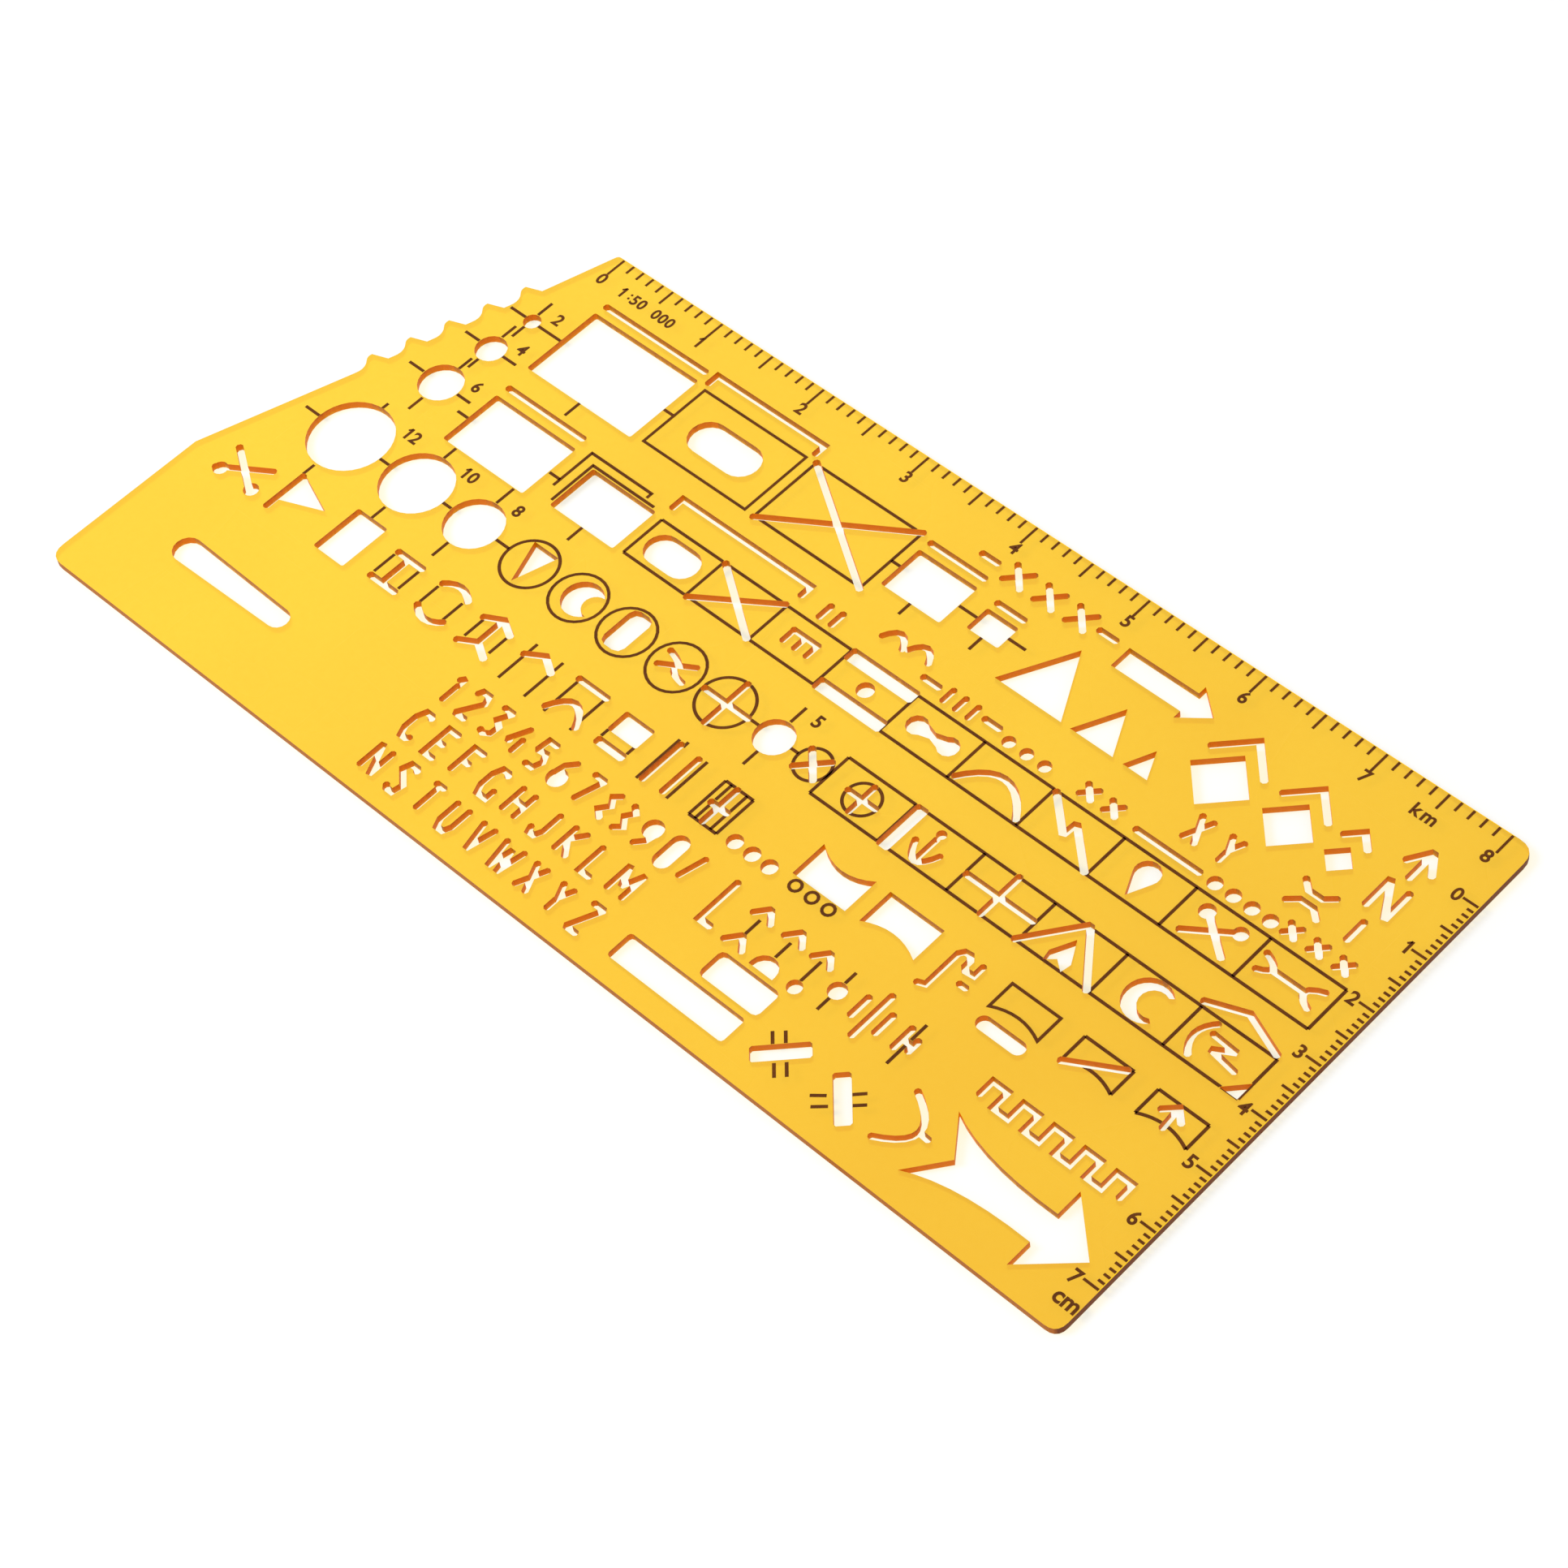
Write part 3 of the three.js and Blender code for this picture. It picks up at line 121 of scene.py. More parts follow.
class Nodes:
    """Short calls that add and join shader nodes."""

    def __init__(self, owner, output_kind="ShaderNodeOutputMaterial"):
        owner.use_nodes = True
        self.tree = owner.node_tree
        self.tree.nodes.clear()
        self.output = self.tree.nodes.new(output_kind)

    def add(self, kind, inputs=None, **settings):
        node = self.tree.nodes.new(kind)
        for name, value in settings.items():
            setattr(node, name, value)
        for socket, value in (inputs or {}).items():
            self.put(node.inputs[socket], value)
        return node

    def put(self, socket, value):
        if isinstance(value, bpy.types.NodeSocket):
            self.tree.links.new(value, socket)
        else:
            socket.default_value = value

    def coordinates(self):
        return self.add("ShaderNodeTexCoord")

    def axes(self, vector):
        return self.add("ShaderNodeSeparateXYZ", {"Vector": vector}).outputs

    def math(self, operation, *values, clamp=False):
        node = self.add("ShaderNodeMath", operation=operation, use_clamp=clamp)
        for socket, value in zip(node.inputs, values):
            self.put(socket, value)
        return node.outputs[0]

    def noise(self, vector, scale, detail=3.0, roughness=0.5):
        inputs = {"Vector": vector, "Scale": scale, "Detail": detail, "Roughness": roughness}
        return self.add("ShaderNodeTexNoise", inputs).outputs["Fac"]

    def stretch(self, vector, scale, angle=0.0):
        inputs = {"Vector": vector, "Scale": scale, "Rotation": (0, 0, angle)}
        return self.add("ShaderNodeMapping", inputs).outputs[0]

    def between(self, value, start, end, out_start=0.0, out_end=1.0):
        inputs = {
            "Value": value,
            "From Min": start,
            "From Max": end,
            "To Min": out_start,
            "To Max": out_end,
        }
        return self.add("ShaderNodeMapRange", inputs, clamp=True).outputs["Result"]

    def blend(self, share, first, second):
        """Colour between the first, at a share of 0, and the second, at a share of 1."""
        inputs = {MIX_SHARE: share, MIX_FIRST: first, MIX_SECOND: second}
        return self.add("ShaderNodeMix", inputs, data_type="RGBA").outputs[MIX_RESULT]

    def bump(self, height, strength, distance):
        inputs = {"Height": height, "Strength": strength, "Distance": distance}
        return self.add("ShaderNodeBump", inputs).outputs[0]

    def any_ray(self, *kinds):
        """1 on rays of the given kinds and 0 on all others."""
        rays = self.add("ShaderNodeLightPath").outputs
        share = rays[kinds[0]]
        for kind in kinds[1:]:
            share = self.math("MAXIMUM", share, rays[kind])
        return share

    def mix(self, share, first, second):
        """Shader between the first, at a share of 0, and the second, at a share of 1."""
        inputs = {0: share, 1: first.outputs[0], 2: second.outputs[0]}
        return self.add("ShaderNodeMixShader", inputs)

    def finish(self, shader):
        self.tree.links.new(shader.outputs[0], self.output.inputs["Surface"])


SEEN_RAYS = ("Is Camera Ray", "Is Glossy Ray", "Is Transmission Ray")

# the values that most of a noise lies between
NOISE_SPAN = (0.3, 0.7)

# Amber plastic: colour of the polished faces. Their tint is cast in soft clouds, and painted
# shade makes it a little deeper towards the centimetre edge. The scales of all noises are per
# metre.
FACE_PALE_AND_LIT = linear(249, 210, 64)
FACE_DEEP_AND_SHADED = linear(236, 187, 55)
FACE_GRAIN = linear(232, 170, 12)
PAINTED_SHADE_REACH = 0.12
PAINTED_SHADE_SLOPE = 0.6
PAINTED_SHADE_DEPTH = 0.9
CLOUDS = {"scale": 22.0, "detail": 2.0}
CLOUD_SPAN = (0.35, 0.65)
CLOUD_DEPTH = 0.12
GRAIN = {"scale": 900.0, "detail": 4.0, "roughness": 0.6}
GRAIN_DEPTH = 0.08


def face_colour(n, axes, clouds, grain):
    across = n.math("SUBTRACT", axes["X"], n.math("MULTIPLY", axes["Y"], PAINTED_SHADE_SLOPE))
    # painted shade: the faces are painted deeper towards the centimetre edge and the front
    painted_shade = n.between(across, -PAINTED_SHADE_REACH, PAINTED_SHADE_REACH, 0.0, PAINTED_SHADE_DEPTH)
    cloud = n.between(clouds, *CLOUD_SPAN, -CLOUD_DEPTH, CLOUD_DEPTH)
    shade = n.math("ADD", painted_shade, cloud, clamp=True)
    speckle = n.between(grain, *NOISE_SPAN, 0.0, GRAIN_DEPTH)
    return n.blend(speckle, n.blend(shade, FACE_PALE_AND_LIT, FACE_DEEP_AND_SHADED), FACE_GRAIN)


# Amber plastic: colour of the cut walls. Light runs further through the plastic there, so they
# are deeper. Painted light and shade: they are painted redder and lighter where they face along
# the sheet's length, and painted with a glow where they stand slanted on it.
WALL_FACING_Y_SHADED = linear(174, 104, 0)
WALL_FACING_X_LIT = linear(222, 112, 0)
WALL_SLANTED_GLOW = linear(232, 118, 0)
SLANT_SPAN = (0.15, 0.45)
SLANT_GLOW_SHARE = 0.7

# the foot of a wall is painted lighter and its head darker, as painted light and shade, with an
# uneven border in between
WALL_FOOT_PAINTED_LIGHT = linear(244, 178, 36)
WALL_HEAD_PAINTED_SHADE = linear(148, 66, 0)
FOOT_SPAN = (0.4, 0.0)
HEAD_SPAN = (0.65, 1.0)
PAINTED_FOOT_AND_HEAD_SHARE = 0.6
UNEVEN_BORDER = {"scale": 1400.0}
UNEVEN_BORDER_STRETCH = (1.0, 1.0, 0.15)
UNEVEN_BORDER_DEPTH = 0.18

# The outer walls at the front and right are painted darker than the holes' walls, as painted
# shade.
# They lie within these two distances of the sheet's bounds.
RIM_DEEP = 0.8 * MM
RIM_EDGE = 0.4 * MM
FRONT_RIM_SHADE = linear(164, 88, 0)
FRONT_RIM_SHADE_SHARE = 0.8
SIDE_RIM_SHADE = linear(92, 34, 0)
SIDE_RIM_SHADE_SHARE = 0.9


def wall_colour(n, spot, axes, normal):
    along = n.math("ABSOLUTE", normal["X"])
    slant = n.math("MULTIPLY", along, n.math("ABSOLUTE", normal["Y"]))
    # noise that makes the border between the painted light at a wall's foot and the painted shade
    # at its head uneven
    unevenness = n.noise(n.stretch(spot, UNEVEN_BORDER_STRETCH), **UNEVEN_BORDER)
    unevenness = n.between(unevenness, *NOISE_SPAN, -UNEVEN_BORDER_DEPTH, UNEVEN_BORDER_DEPTH)
    height = n.math("ADD", n.between(axes["Z"], 0.0, TOP), unevenness, clamp=True)
    foot = n.between(height, *FOOT_SPAN, 0.0, PAINTED_FOOT_AND_HEAD_SHARE)
    head = n.between(height, *HEAD_SPAN, 0.0, PAINTED_FOOT_AND_HEAD_SHARE)
    # painted shade on the outer walls at the front and right
    front_shade = n.between(axes["Y"], low.y + RIM_DEEP, low.y + RIM_EDGE, 0.0, FRONT_RIM_SHADE_SHARE)
    side = n.between(axes["X"], high.x - RIM_DEEP, high.x - RIM_EDGE, 0.0, SIDE_RIM_SHADE_SHARE)

    # painted light and shade: a lit colour where walls face along x, a shaded one where they face
    # along y
    colour = n.blend(along, WALL_FACING_Y_SHADED, WALL_FACING_X_LIT)
    # painted light at the foot of a wall, painted shade at its head
    colour = n.blend(foot, colour, WALL_FOOT_PAINTED_LIGHT)
    colour = n.blend(head, colour, WALL_HEAD_PAINTED_SHADE)
    # painted glow where walls stand slanted
    colour = n.blend(n.between(slant, *SLANT_SPAN, 0.0, SLANT_GLOW_SHARE), colour, WALL_SLANTED_GLOW)
    colour = n.blend(front_shade, colour, FRONT_RIM_SHADE)
    return n.blend(side, colour, SIDE_RIM_SHADE)


# Amber plastic: fine scratches in two directions and the wiped haze of use
SCRATCHES = {"scale": 6.0, "detail": 2.0}
SCRATCHES_ONE_WAY = {"scale": (9.0, 420.0, 1.0), "angle": 0.5}
SCRATCHES_OTHER_WAY = {"scale": (380.0, 7.0, 1.0), "angle": -0.3}
SCRATCH_SPAN_ONE_WAY = (0.66, 0.8)
SCRATCH_SPAN_OTHER_WAY = (0.68, 0.8)
SCRATCH_ROUGHNESS = 0.14
HAZE_ROUGHNESS = (0.22, 0.34)
WALL_ROUGHNESS = 0.2
GRAIN_RELIEF = 0.25
RELIEF_STRENGTH = 0.12
RELIEF_DEPTH = 0.02 * MM


def scratch_marks(n, spot):
    one_way = n.noise(n.stretch(spot, **SCRATCHES_ONE_WAY), **SCRATCHES)
    other_way = n.noise(n.stretch(spot, **SCRATCHES_OTHER_WAY), **SCRATCHES)
    return n.math(
        "MAXIMUM",
        n.between(one_way, *SCRATCH_SPAN_ONE_WAY),
        n.between(other_way, *SCRATCH_SPAN_OTHER_WAY),
    )


# A surface is a wall where its normal isn't upright, with this span between face and wall.
WALL_SPAN = (0.9, 0.4)

# A clear plastic lets light through, so its shade and what it throws back are light and yellow.
FACE_CLEARNESS = 0.2
SEEN_THROUGH = linear(255, 236, 165)
LIT_THROUGH = linear(253, 240, 180)
ACRYLIC_IOR = 1.49
SPECULAR = 0.15


def amber_plastic():
    material = bpy.data.materials.new("amber_plastic")
    n = Nodes(material)
    coordinates = n.coordinates().outputs
    spot = coordinates["Object"]
    normal = n.axes(coordinates["Normal"])
    axes = n.axes(spot)
    clouds = n.noise(spot, **CLOUDS)
    grain = n.noise(spot, **GRAIN)
    wall = n.between(n.math("ABSOLUTE", normal["Z"]), *WALL_SPAN)
    face = face_colour(n, axes, clouds, grain)

    scratches = scratch_marks(n, spot)
    haze = n.between(clouds, *NOISE_SPAN, *HAZE_ROUGHNESS)
    polish = n.math("ADD", haze, n.math("MULTIPLY", scratches, SCRATCH_ROUGHNESS))
    roughness = n.math("ADD", polish, n.math("MULTIPLY", wall, WALL_ROUGHNESS), clamp=True)
    relief = n.math("SUBTRACT", n.math("MULTIPLY", grain, GRAIN_RELIEF), scratches)
    plastic = n.add("ShaderNodeBsdfPrincipled", {
        "Base Color": n.blend(wall, face, wall_colour(n, spot, axes, normal)),
        "Roughness": roughness,
        "Normal": n.bump(relief, RELIEF_STRENGTH, RELIEF_DEPTH),
        "IOR": ACRYLIC_IOR,
        "Specular IOR Level": SPECULAR,
    })

    passing = n.any_ray("Is Shadow Ray", "Is Diffuse Ray")
    tint = n.blend(passing, SEEN_THROUGH, LIT_THROUGH)
    clear = n.add("ShaderNodeBsdfTransparent", {"Color": tint})
    clear_share = n.math("MAXIMUM", passing, n.between(wall, 0.0, 1.0, FACE_CLEARNESS, 0.0))
    n.finish(n.mix(clear_share, plastic, clear))
    return material


# Ink, a little thin in places and worn at the edges
INK_FULL = linear(82, 39, 0)
INK_THIN = linear(120, 63, 2)
INK_WORN = linear(134, 77, 6)
INK_WEIGHT = {"scale": 500.0}
THIN_SPAN = (0.35, 0.7)
THIN_SHARE = 0.4
INK_EDGE = {"scale": 5200.0, "roughness": 0.65}
WORN_SPAN = (0.45, 0.75)
WORN_SHARE = 0.3
INK_ROUGHNESS = (0.42, 0.6)
INK_RELIEF_STRENGTH = 0.15
INK_RELIEF_DEPTH = 0.01 * MM

# The ticks of a scale stand on a base line too thin to see, which has the colour of the sheet.
BASE_LINE = 0.13 * MM
BASE_LINE_COLOUR = linear(250, 204, 36)


def screen_ink(name, base_line=False):
    material = bpy.data.materials.new(name)
    n = Nodes(material)
    spot = n.coordinates().outputs["Object"]
    weight = n.noise(spot, **INK_WEIGHT)
    edge = n.noise(spot, **INK_EDGE)
    colour = n.blend(n.between(weight, *THIN_SPAN, 0.0, THIN_SHARE), INK_FULL, INK_THIN)
    colour = n.blend(n.between(edge, *WORN_SPAN, 0.0, WORN_SHARE), colour, INK_WORN)
    if base_line:
        axes = n.axes(spot)
        beyond_y = n.math("GREATER_THAN", axes["Y"], high.y - BASE_LINE)
        beyond_x = n.math("GREATER_THAN", axes["X"], high.x - BASE_LINE)
        colour = n.blend(n.math("MAXIMUM", beyond_y, beyond_x), colour, BASE_LINE_COLOUR)
    n.finish(n.add("ShaderNodeBsdfPrincipled", {
        "Base Color": colour,
        "Roughness": n.between(weight, *NOISE_SPAN, *INK_ROUGHNESS),
        "Normal": n.bump(edge, INK_RELIEF_STRENGTH, INK_RELIEF_DEPTH),
        "Specular IOR Level": SPECULAR,
    }))
    return material


# Pale paper under the sheet, which glows a little where it is seen
PAPER_DARK = linear(244, 244, 243)
PAPER_LIGHT = linear(247, 247, 247)
PAPER_TONE = {"scale": 40.0}
PAPER_GLOW = 1.06
PAPER_GLOW_SHARE = 0.45
WHITE = (1, 1, 1, 1)


def paper_floor():
    material = bpy.data.materials.new("paper_floor")
    n = Nodes(material)
    tone = n.between(n.noise(n.coordinates().outputs["Object"], **PAPER_TONE), *NOISE_SPAN)
    paper = n.add("ShaderNodeBsdfDiffuse", {"Color": n.blend(tone, PAPER_DARK, PAPER_LIGHT)})
    glow = n.add("ShaderNodeEmission", {"Color": WHITE, "Strength": PAPER_GLOW})
    n.finish(n.mix(n.math("MULTIPLY", n.any_ray(*SEEN_RAYS), PAPER_GLOW_SHARE), paper, glow))
    return material


AMBER = amber_plastic()
INK = screen_ink("screen_ink")
SCALE_INK = screen_ink("scale_ink", base_line=True)


def dress(piece, material):
    piece.data.materials.clear()
    piece.data.materials.append(material)


# The moulded sheet: polished faces and slightly eased edges
EASED = 0.06 * MM
EASED_STEPS = 2
EASED_FROM = math.radians(60)

dress(SHEET, AMBER)
ease = SHEET.modifiers.new("eased_edges", "BEVEL")
ease.width = EASED
ease.segments = EASED_STEPS
ease.limit_method = "ANGLE"
ease.angle_limit = EASED_FROM
ease.use_clamp_overlap = False

# The prints that are parts of their own
for name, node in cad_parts.items():
    if name != "template_sheet":
        dress(node, SCALE_INK if name.endswith("scale_print") else INK)

# Ink drawn on the sheet. A line narrows where a hole cuts into it and stops where one covers it.
# Its width and the steps along it are in millimetres.
INK_HEIGHT = 0.03 * MM
LINE = 0.46
STEP = 0.06

# A line is tried at this many places on each side of its middle, and ends where fewer than the
# least number of places are left. A run of fewer steps than the least number is left out.
PLACES = 12
LEAST_PLACES = 4
LEAST_STEPS = 4

# The sheet is felt for from above it. What lies deeper than this below its face is a hole.
FEEL_FROM = 10 * MM
HOLE_DEPTH = 0.2 * MM

# cosines of the sharpest bend that a line keeps its width at, and of one that counts as straight
SHARPEST_BEND = 0.5
STRAIGHT = 0.9995

# A line is a loop where its ends lie this close.
MEETING = STEP / 10 * MM

bare = bmesh.new()
bare.from_mesh(SHEET.data)
surface = BVHTree.FromBMesh(bare)
bare.free()


def on_sheet(spot):
    hit, _, _, _ = surface.ray_cast(spot + Vector((0, 0, FEEL_FROM)), Vector((0, 0, -1)))
    return hit is not None and hit.z > TOP - HOLE_DEPTH


def side_of(path, index):
    """Across the path at a point, longer at a bend so that the line keeps its width."""
    before = (path[index] - path[max(index - 1, 0)]).normalized()
    after = (path[min(index + 1, len(path) - 1)] - path[index]).normalized()
    along = (before + after).normalized()
    cosine = max(along.dot(before), along.dot(after), SHARPEST_BEND)
    return Vector((-along.y, along.x, 0)) / cosine


def fine(path):
    """The path's points with others between them, STEP apart."""
    points = [path[0]]
    for start, end in zip(path, path[1:]):
        count = max(1, round((end - start).length / (STEP * MM)))
        points += [start.lerp(end, (i + 1) / count) for i in range(count)]
    return points


def widest_part(spot, side):
    """The widest part of the line on the sheet at a point, in shares of its half width."""
    parts = [[]]
    for number in range(-PLACES, PLACES + 1):
        share = number / PLACES
        if on_sheet(spot + side * share):
            parts[-1].append(share)
        elif parts[-1]:
            parts.append([])
    return max(parts, key=len)


def runs_on_sheet(path):
    """Stretches of the line on the sheet, each a list of pairs of points on its two edges."""
    points = fine(path)
    runs = [[]]
    last = (-1.0, 1.0)
    for index, spot in enumerate(points):
        side = side_of(points, index) * (LINE / 2 * MM)
        part = widest_part(spot, side)
        carried = len(part) >= LEAST_PLACES
        joined = carried and part[0] < last[1] and part[-1] > last[0]
        if runs[-1] and not joined:
            runs.append([])
        if carried:
            runs[-1].append((spot + side * part[0], spot + side * part[-1]))
            last = (part[0], part[-1])
    return [run for run in runs if len(run) >= LEAST_STEPS]


def straight(before, here, after):
    return (here - before).normalized().dot((after - here).normalized()) > STRAIGHT


def thinned(run):
    """The run without the pairs at which both edges go straight on."""
    kept = [run[0]]
    for pair, after in zip(run[1:], run[2:]):
        if not all(map(straight, kept[-1], pair, after)):
            kept.append(pair)
    return kept + [run[-1]]


def add_ribbon(mesh, pairs):
    """Ink between the pairs of points, closed into a loop where its ends meet."""
    lift = Vector((0, 0, INK_HEIGHT))
    closed = (pairs[0][0] - pairs[-1][0]).length < MEETING
    rings = []
    for left, right in pairs[:-1] if closed else pairs:
        corners = (left, right, right + lift, left + lift)
        rings.append([mesh.verts.new(corner) for corner in corners])
    following = rings[1:] + rings[:1] if closed else rings[1:]
    for first, second in zip(rings, following):
        for i in range(4):
            mesh.faces.new((first[i], first[(i + 1) % 4], second[(i + 1) % 4], second[i]))
    if not closed:
        mesh.faces.new(rings[0][::-1])
        mesh.faces.new(rings[-1])


def add_piece(name, mesh):
    bmesh.ops.recalc_face_normals(mesh, faces=mesh.faces)
    data = bpy.data.meshes.new(name)
    mesh.to_mesh(data)
    mesh.free()
    piece = bpy.data.objects.new(name, data)
    bpy.context.collection.objects.link(piece)
    dress(piece, INK)
    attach(piece, "root")


def ink_lines(name, lines):
    """One piece of ink: each line is a list of points on the sheet."""
    mesh = bmesh.new()
    for line in lines:
        for run in runs_on_sheet([place(x, y) for x, y in line]):
            add_ribbon(mesh, thinned(run))
    add_piece(name, mesh)


def across(x0, x1, y):
    return [(x0, y), (x1, y)]


def down(x, y0, y1):
    return [(x, y0), (x, y1)]


def box_lines(x0, x1, y0, y1):
    return [across(x0, x1, y0), across(x0, x1, y1), down(x0, y0, y1), down(x1, y0, y1)]


ROUND_STEPS = 56


def round_line(x, y, radius):
    angles = [math.radians(360 * i / ROUND_STEPS) for i in range(ROUND_STEPS + 1)]
    return [(x + radius * math.cos(a), y + radius * math.sin(a)) for a in angles]


# rows of cells between two lines
CELL_PITCH = 11.96
CELLS_START = 39.25
SIGN_CELLS_START = 87.1


def ladder(start, cells, top, foot):
    end = start + CELL_PITCH * cells
    rungs = [down(start + CELL_PITCH * i, top, foot) for i in range(cells + 1)]
    return [across(start, end, top), across(start, end, foot), *rungs]


ink_lines("crossed_slot_frame", box_lines(48.6, 68.6, -11.1, -23.1))
ink_lines("cell_frame", ladder(CELLS_START, 10, -31.5, -38.85))
ink_lines("sign_cell_frame", ladder(SIGN_CELLS_START, 6, -44.5, -51.8))
ink_lines("sign_rings", [
    round_line(30.8, -48.4, 4.15),
    round_line(68.3, -48.3, 4.15),
    round_line(84.3, -48.3, 2.65),
    round_line(93.1, -48.3, 2.6),
])

# centre ticks of the rectangles
ink_lines("rectangle_ticks", [
    across(25.0, 26.9, -17.2),
    down(14.9, -23.8, -26.7),
    across(68.6, 70.2, -17.1),
    across(81.0, 84.2, -17.1),
    down(75.7, -20.9, -23.2),
    across(89.8, 92.9, -17.1),
    down(87.0, -19.2, -21.7),
    across(2.4, 4.6, -35.6),
    across(20.9, 23.0, -35.3),
    down(31.7, -39.2, -42.2),
])

# outline around the fifth rectangle, and a band close along two of its sides
ink_lines("offset_outlines", [
    [(23.0, -36.6), (23.0, -29.15), (34.8, -29.15), (34.8, -30.1)],
    [(24.75, -38.6), (24.75, -30.65), (36.8, -30.65)],
])

# centre ticks of the round holes
ink_lines("circle_ticks", [
    down(-2.1, -13.0, -15.8),
    across(-6.3, -3.2, -17.2),
    across(-0.5, 4.1, -17.3),
    down(-2.0, -18.6, -21.0),
    down(-3.0, -19.3, -22.0),
    across(-8.0, -5.1, -24.5),
    across(-0.3, 2.5, -24.5),
    down(-2.6, -27.0, -29.0),
    down(-3.4, -27.5, -30.0),
    across(-10.0, -7.0, -33.5),
    across(0.0, 2.7, -33.5),
    down(-3.4, -37.0, -39.7),
    down(-6.4, -40.8, -42.0),
    across(-15.3, -12.4, -48.5),
    across(0.4, 2.4, -48.5),
    down(-6.0, -55.1, -57.2),
    down(7.4, -40.5, -42.8),
    across(13.3, 15.0, -48.4),
    down(7.6, -54.0, -56.5),
    down(19.2, -40.5, -43.8),
    across(24.0, 26.6, -48.3),
    down(19.2, -52.8, -55.8),
    across(72.5, 74.3, -48.2),
    across(80.2, 81.6, -48.2),
    down(77.2, -42.2, -45.2),
    down(77.2, -51.2, -54.0),
])

# outlines of the bridged signs in the fourth row
ink_lines("bridged_sign_lines", [
    down(15.0, -58.9, -62.7),
    down(19.9, -58.9, -62.7),
    down(23.9, -58.9, -62.5),
    down(28.7, -58.9, -62.5),
    down(33.0, -58.6, -62.5),
    down(37.8, -58.6, -62.5),
    down(41.8, -57.3, -64.5),
    down(46.8, -57.3, -64.5),
    down(50.6, -57.3, -64.5),
    down(55.6, -57.3, -64.5),
    down(59.5, -61.2, -62.5),
    down(64.3, -61.2, -62.5),
    down(68.0, -56.4, -64.4),
    down(69.2, -56.0, -57.0),
    down(73.4, -56.7, -64.2),
    *box_lines(77.4, 82.4, -57.3, -64.1),
    down(78.5, -57.3, -64.1),
    down(81.3, -57.3, -64.1),
])

# flags whose foot is an arch
FLAG_TOP = -56.8
FLAG_CORNER = -61.1
FLAG_CROWN = -60.1
ARCH_STEPS = 12


def arch_height(share):
    return FLAG_CORNER + 4 * share * (1 - share) * (FLAG_CROWN - FLAG_CORNER)


def flag(x0, x1):
    shares = [i / ARCH_STEPS for i in range(ARCH_STEPS + 1)]
    arch = [(x0 + (x1 - x0) * share, arch_height(share)) for share in shares]
    sides = [down(x, FLAG_TOP, FLAG_CORNER) for x in (x0, x1)]
    return [across(x0, x1, FLAG_TOP), *sides, arch]


ink_lines("flag_outlines", flag(138.9, 146.8) + flag(150.7, 158.7))

# shafts and short pairs in the lower rows
ink_lines("lower_sign_lines", [
    down(96.2, -70.0, -72.8),
    down(101.6, -70.0, -72.8),
    down(106.5, -69.6, -73.6),
    down(111.0, -68.0, -70.0),
    down(111.0, -72.8, -75.0),
    down(123.0, -68.0, -75.2),
    [(109.0, -80.8), (110.5, -82.3)],
    [(110.2, -79.7), (111.7, -81.2)],
    [(112.4, -84.0), (113.9, -85.5)],
    [(113.5, -82.9), (115.0, -84.4)],
    [(122.7, -81.3), (124.2, -79.8)],
    [(123.8, -82.4), (125.3, -81.0)],
    [(119.0, -84.5), (120.6, -83.2)],
    [(120.2, -85.6), (121.8, -84.2)],
])

# Numerals and words. Their heights are in millimetres, their weight in shares of the font's size.
NUMERAL = 2.1
CAPTION = 1.9
COLON = 0.6 * CAPTION
CENTIMETRE_UNIT = 1.6
LETTER_WEIGHT = 0.025
LETTER_STEPS = 4
SAME_CORNER = 1e-7

# the slanted stroke at the head of a 1
HEAD_REACH = 0.45
HEAD_DROP = 0.5
HEAD_WIDTH = 0.3


def add_head(mesh, corner):
    start = corner + Vector((HEAD_WIDTH / 2, -HEAD_WIDTH / 2, 0)) * MM
    stroke = [start - Vector((HEAD_REACH, HEAD_DROP, 0)) * MM, start]
    side = side_of(stroke, 0) * (HEAD_WIDTH / 2 * MM)
    add_ribbon(mesh, [(spot - side, spot + side) for spot in stroke])


def letter_mesh(name, words, spacing):
    curve = bpy.data.curves.new(name, "FONT")
    curve.body = words
    curve.extrude = INK_HEIGHT / 2 / MM
    curve.resolution_u = LETTER_STEPS
    curve.offset = LETTER_WEIGHT
    curve.space_character = spacing
    text = bpy.data.objects.new(name, curve)
    bpy.context.collection.objects.link(text)
    bpy.context.view_layer.update()
    evaluated = text.evaluated_get(bpy.context.evaluated_depsgraph_get())
    shape = bpy.data.meshes.new_from_object(evaluated)
    bpy.data.objects.remove(text)
    return shape


def add_words(mesh, shape, words, spot, height):
    xs = [vertex.co.x for vertex in shape.vertices]
    ys = [vertex.co.y for vertex in shape.vertices]
    middle = Vector(((min(xs) + max(xs)) / 2, (min(ys) + max(ys)) / 2, 0))
    size = height / (max(ys) - min(ys))
    if words.startswith("1"):
        add_head(mesh, spot + (Vector((min(xs), max(ys), 0)) - middle) * size * MM)
    for vertex in shape.vertices:
        moved = (vertex.co - middle) * Vector((size, size, 1)) * MM
        vertex.co = spot + moved + Vector((0, 0, INK_HEIGHT / 2))
    mesh.from_mesh(shape)


def ink_text(name, labels, spacing=1.0):
    """One piece of lettering: each label is its words, the middle of them and their height."""
    mesh = bmesh.new()
    for words, x, y, height in labels:
        shape = letter_mesh(name, words, spacing)
        add_words(mesh, shape, words, place(x, y), height)
        bpy.data.meshes.remove(shape)
    bmesh.ops.remove_doubles(mesh, verts=mesh.verts, dist=SAME_CORNER)
    add_piece(name, mesh)


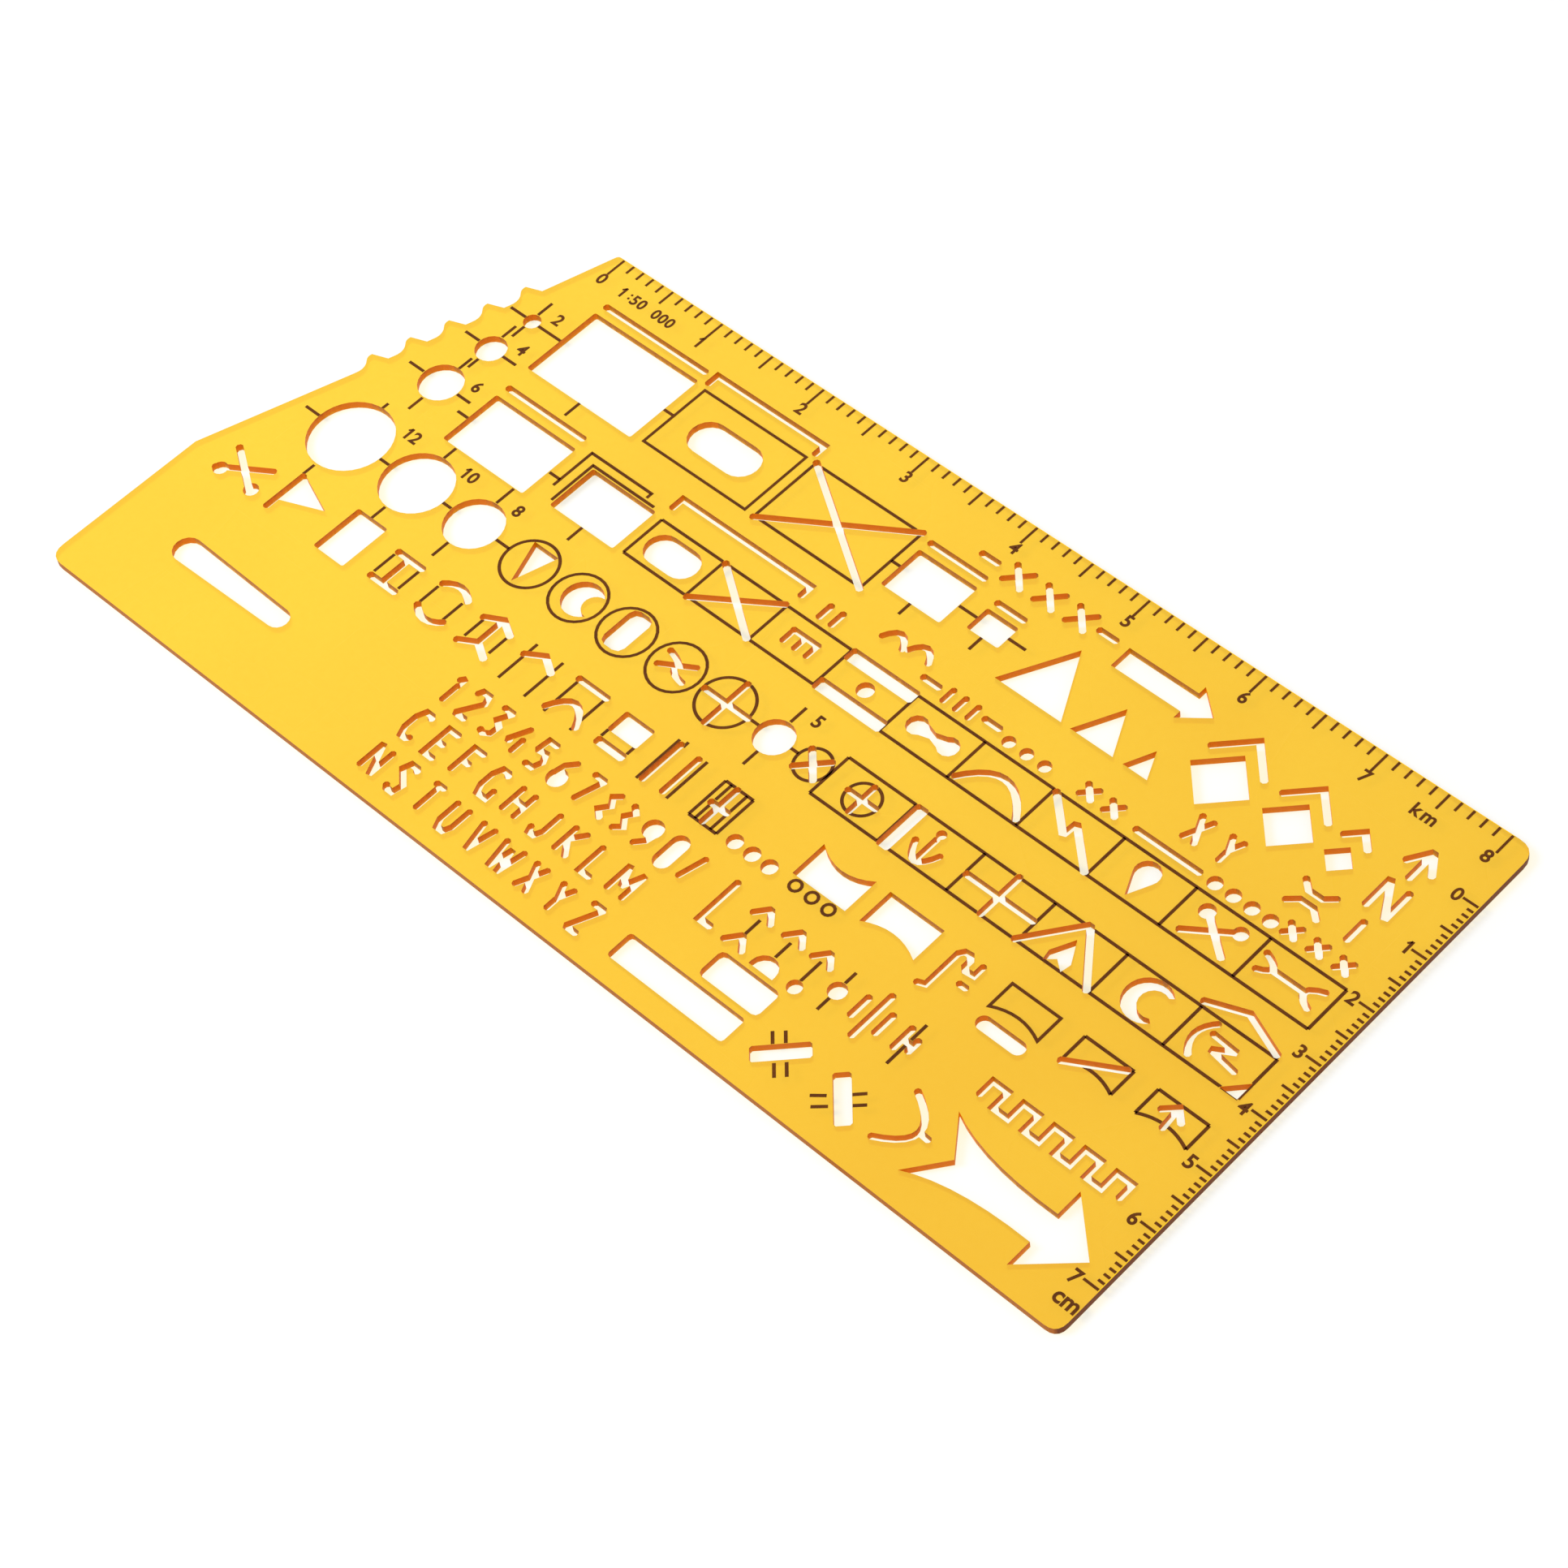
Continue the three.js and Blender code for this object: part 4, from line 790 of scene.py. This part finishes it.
# The kilometre numerals stand below their ticks, the last one a little back from the corner.
KILOMETRE = 20.0
KILOMETRES = 8
LAST_BACK = 0.6
KILOMETRE_ROW = -5.1

kilometre_places = [KILOMETRE * i for i in range(KILOMETRES)]
kilometre_places.append(KILOMETRE * KILOMETRES - LAST_BACK)
ink_text("kilometre_numerals", [
    (str(i), x, KILOMETRE_ROW, NUMERAL) for i, x in enumerate(kilometre_places)
])
ink_text("kilometre_caption", [
    ("1", 4.4, -5.1, CAPTION),
    (":", 5.8, -5.1, COLON),
    ("50", 7.6, -5.15, CAPTION),
    ("000", 12.6, -5.2, CAPTION),
], spacing=1.1)
ink_text("kilometre_unit", [("km", 149.5, -5.0, NUMERAL)], spacing=1.25)

# The centimetre numerals stand in a column, the 1 a little right of it.
CENTIMETRE_COLUMN = 160.2
ONE_RIGHT = 0.4
CENTIMETRE_ROWS = (-11.9, -21.9, -31.9, -41.9, -52.2, -62.0, -72.0, -82.3)

ink_text("centimetre_numerals", [
    (str(i), CENTIMETRE_COLUMN + (ONE_RIGHT if i == 1 else 0.0), y, NUMERAL)
    for i, y in enumerate(CENTIMETRE_ROWS)
])
ink_text("centimetre_caption", [("cm", 161.6, -85.6, CENTIMETRE_UNIT)])
ink_text("circle_size_numerals", [
    ("2", 1.0, -14.7, NUMERAL),
    ("4", 1.1, -21.9, NUMERAL),
    ("6", 1.3, -30.8, NUMERAL),
    ("12", 1.1, -42.8, NUMERAL),
    ("10", 12.9, -42.7, NUMERAL),
    ("8", 22.7, -42.9, NUMERAL),
    ("5", 80.0, -42.9, NUMERAL),
])

# Floor, just under the sheet
FLOOR_SIZE = 3.0
FLOOR_GAP = 0.05 * MM

half = FLOOR_SIZE / 2
floor_data = bpy.data.meshes.new("floor")
corners = [(-half, -half, 0), (half, -half, 0), (half, half, 0), (-half, half, 0)]
floor_data.from_pydata(corners, [], [(0, 1, 2, 3)])
floor = bpy.data.objects.new("floor", floor_data)
bpy.context.collection.objects.link(floor)
floor.location.z = low.z - FLOOR_GAP
dress(floor, paper_floor())

# Light: one large soft lamp, turned to the middle of the sheet, and a pale surround
LAMP_SPOT = Vector((-0.6, -0.5, 0.8))
LAMP_SIZE = 0.5
LAMP_WATTS = 7.1
SURROUND_LIGHT = 0.74
SURROUND_SEEN = 1.0

lamp_data = bpy.data.lights.new("key_lamp", "AREA")
lamp_data.shape = "DISK"
lamp_data.size = LAMP_SIZE
lamp_data.energy = LAMP_WATTS
lamp = bpy.data.objects.new("key_lamp", lamp_data)
bpy.context.collection.objects.link(lamp)
lamp.location = LAMP_SPOT
lamp.rotation_euler = (-LAMP_SPOT).to_track_quat("-Z", "Y").to_euler()

world = bpy.data.worlds.new("surround")
bpy.context.scene.world = world
surround = Nodes(world, "ShaderNodeOutputWorld")
surround.finish(surround.mix(
    surround.any_ray(*SEEN_RAYS),
    surround.add("ShaderNodeBackground", {"Color": WHITE, "Strength": SURROUND_LIGHT}),
    surround.add("ShaderNodeBackground", {"Color": WHITE, "Strength": SURROUND_SEEN}),
))

bpy.context.scene.view_settings.view_transform = "Standard"
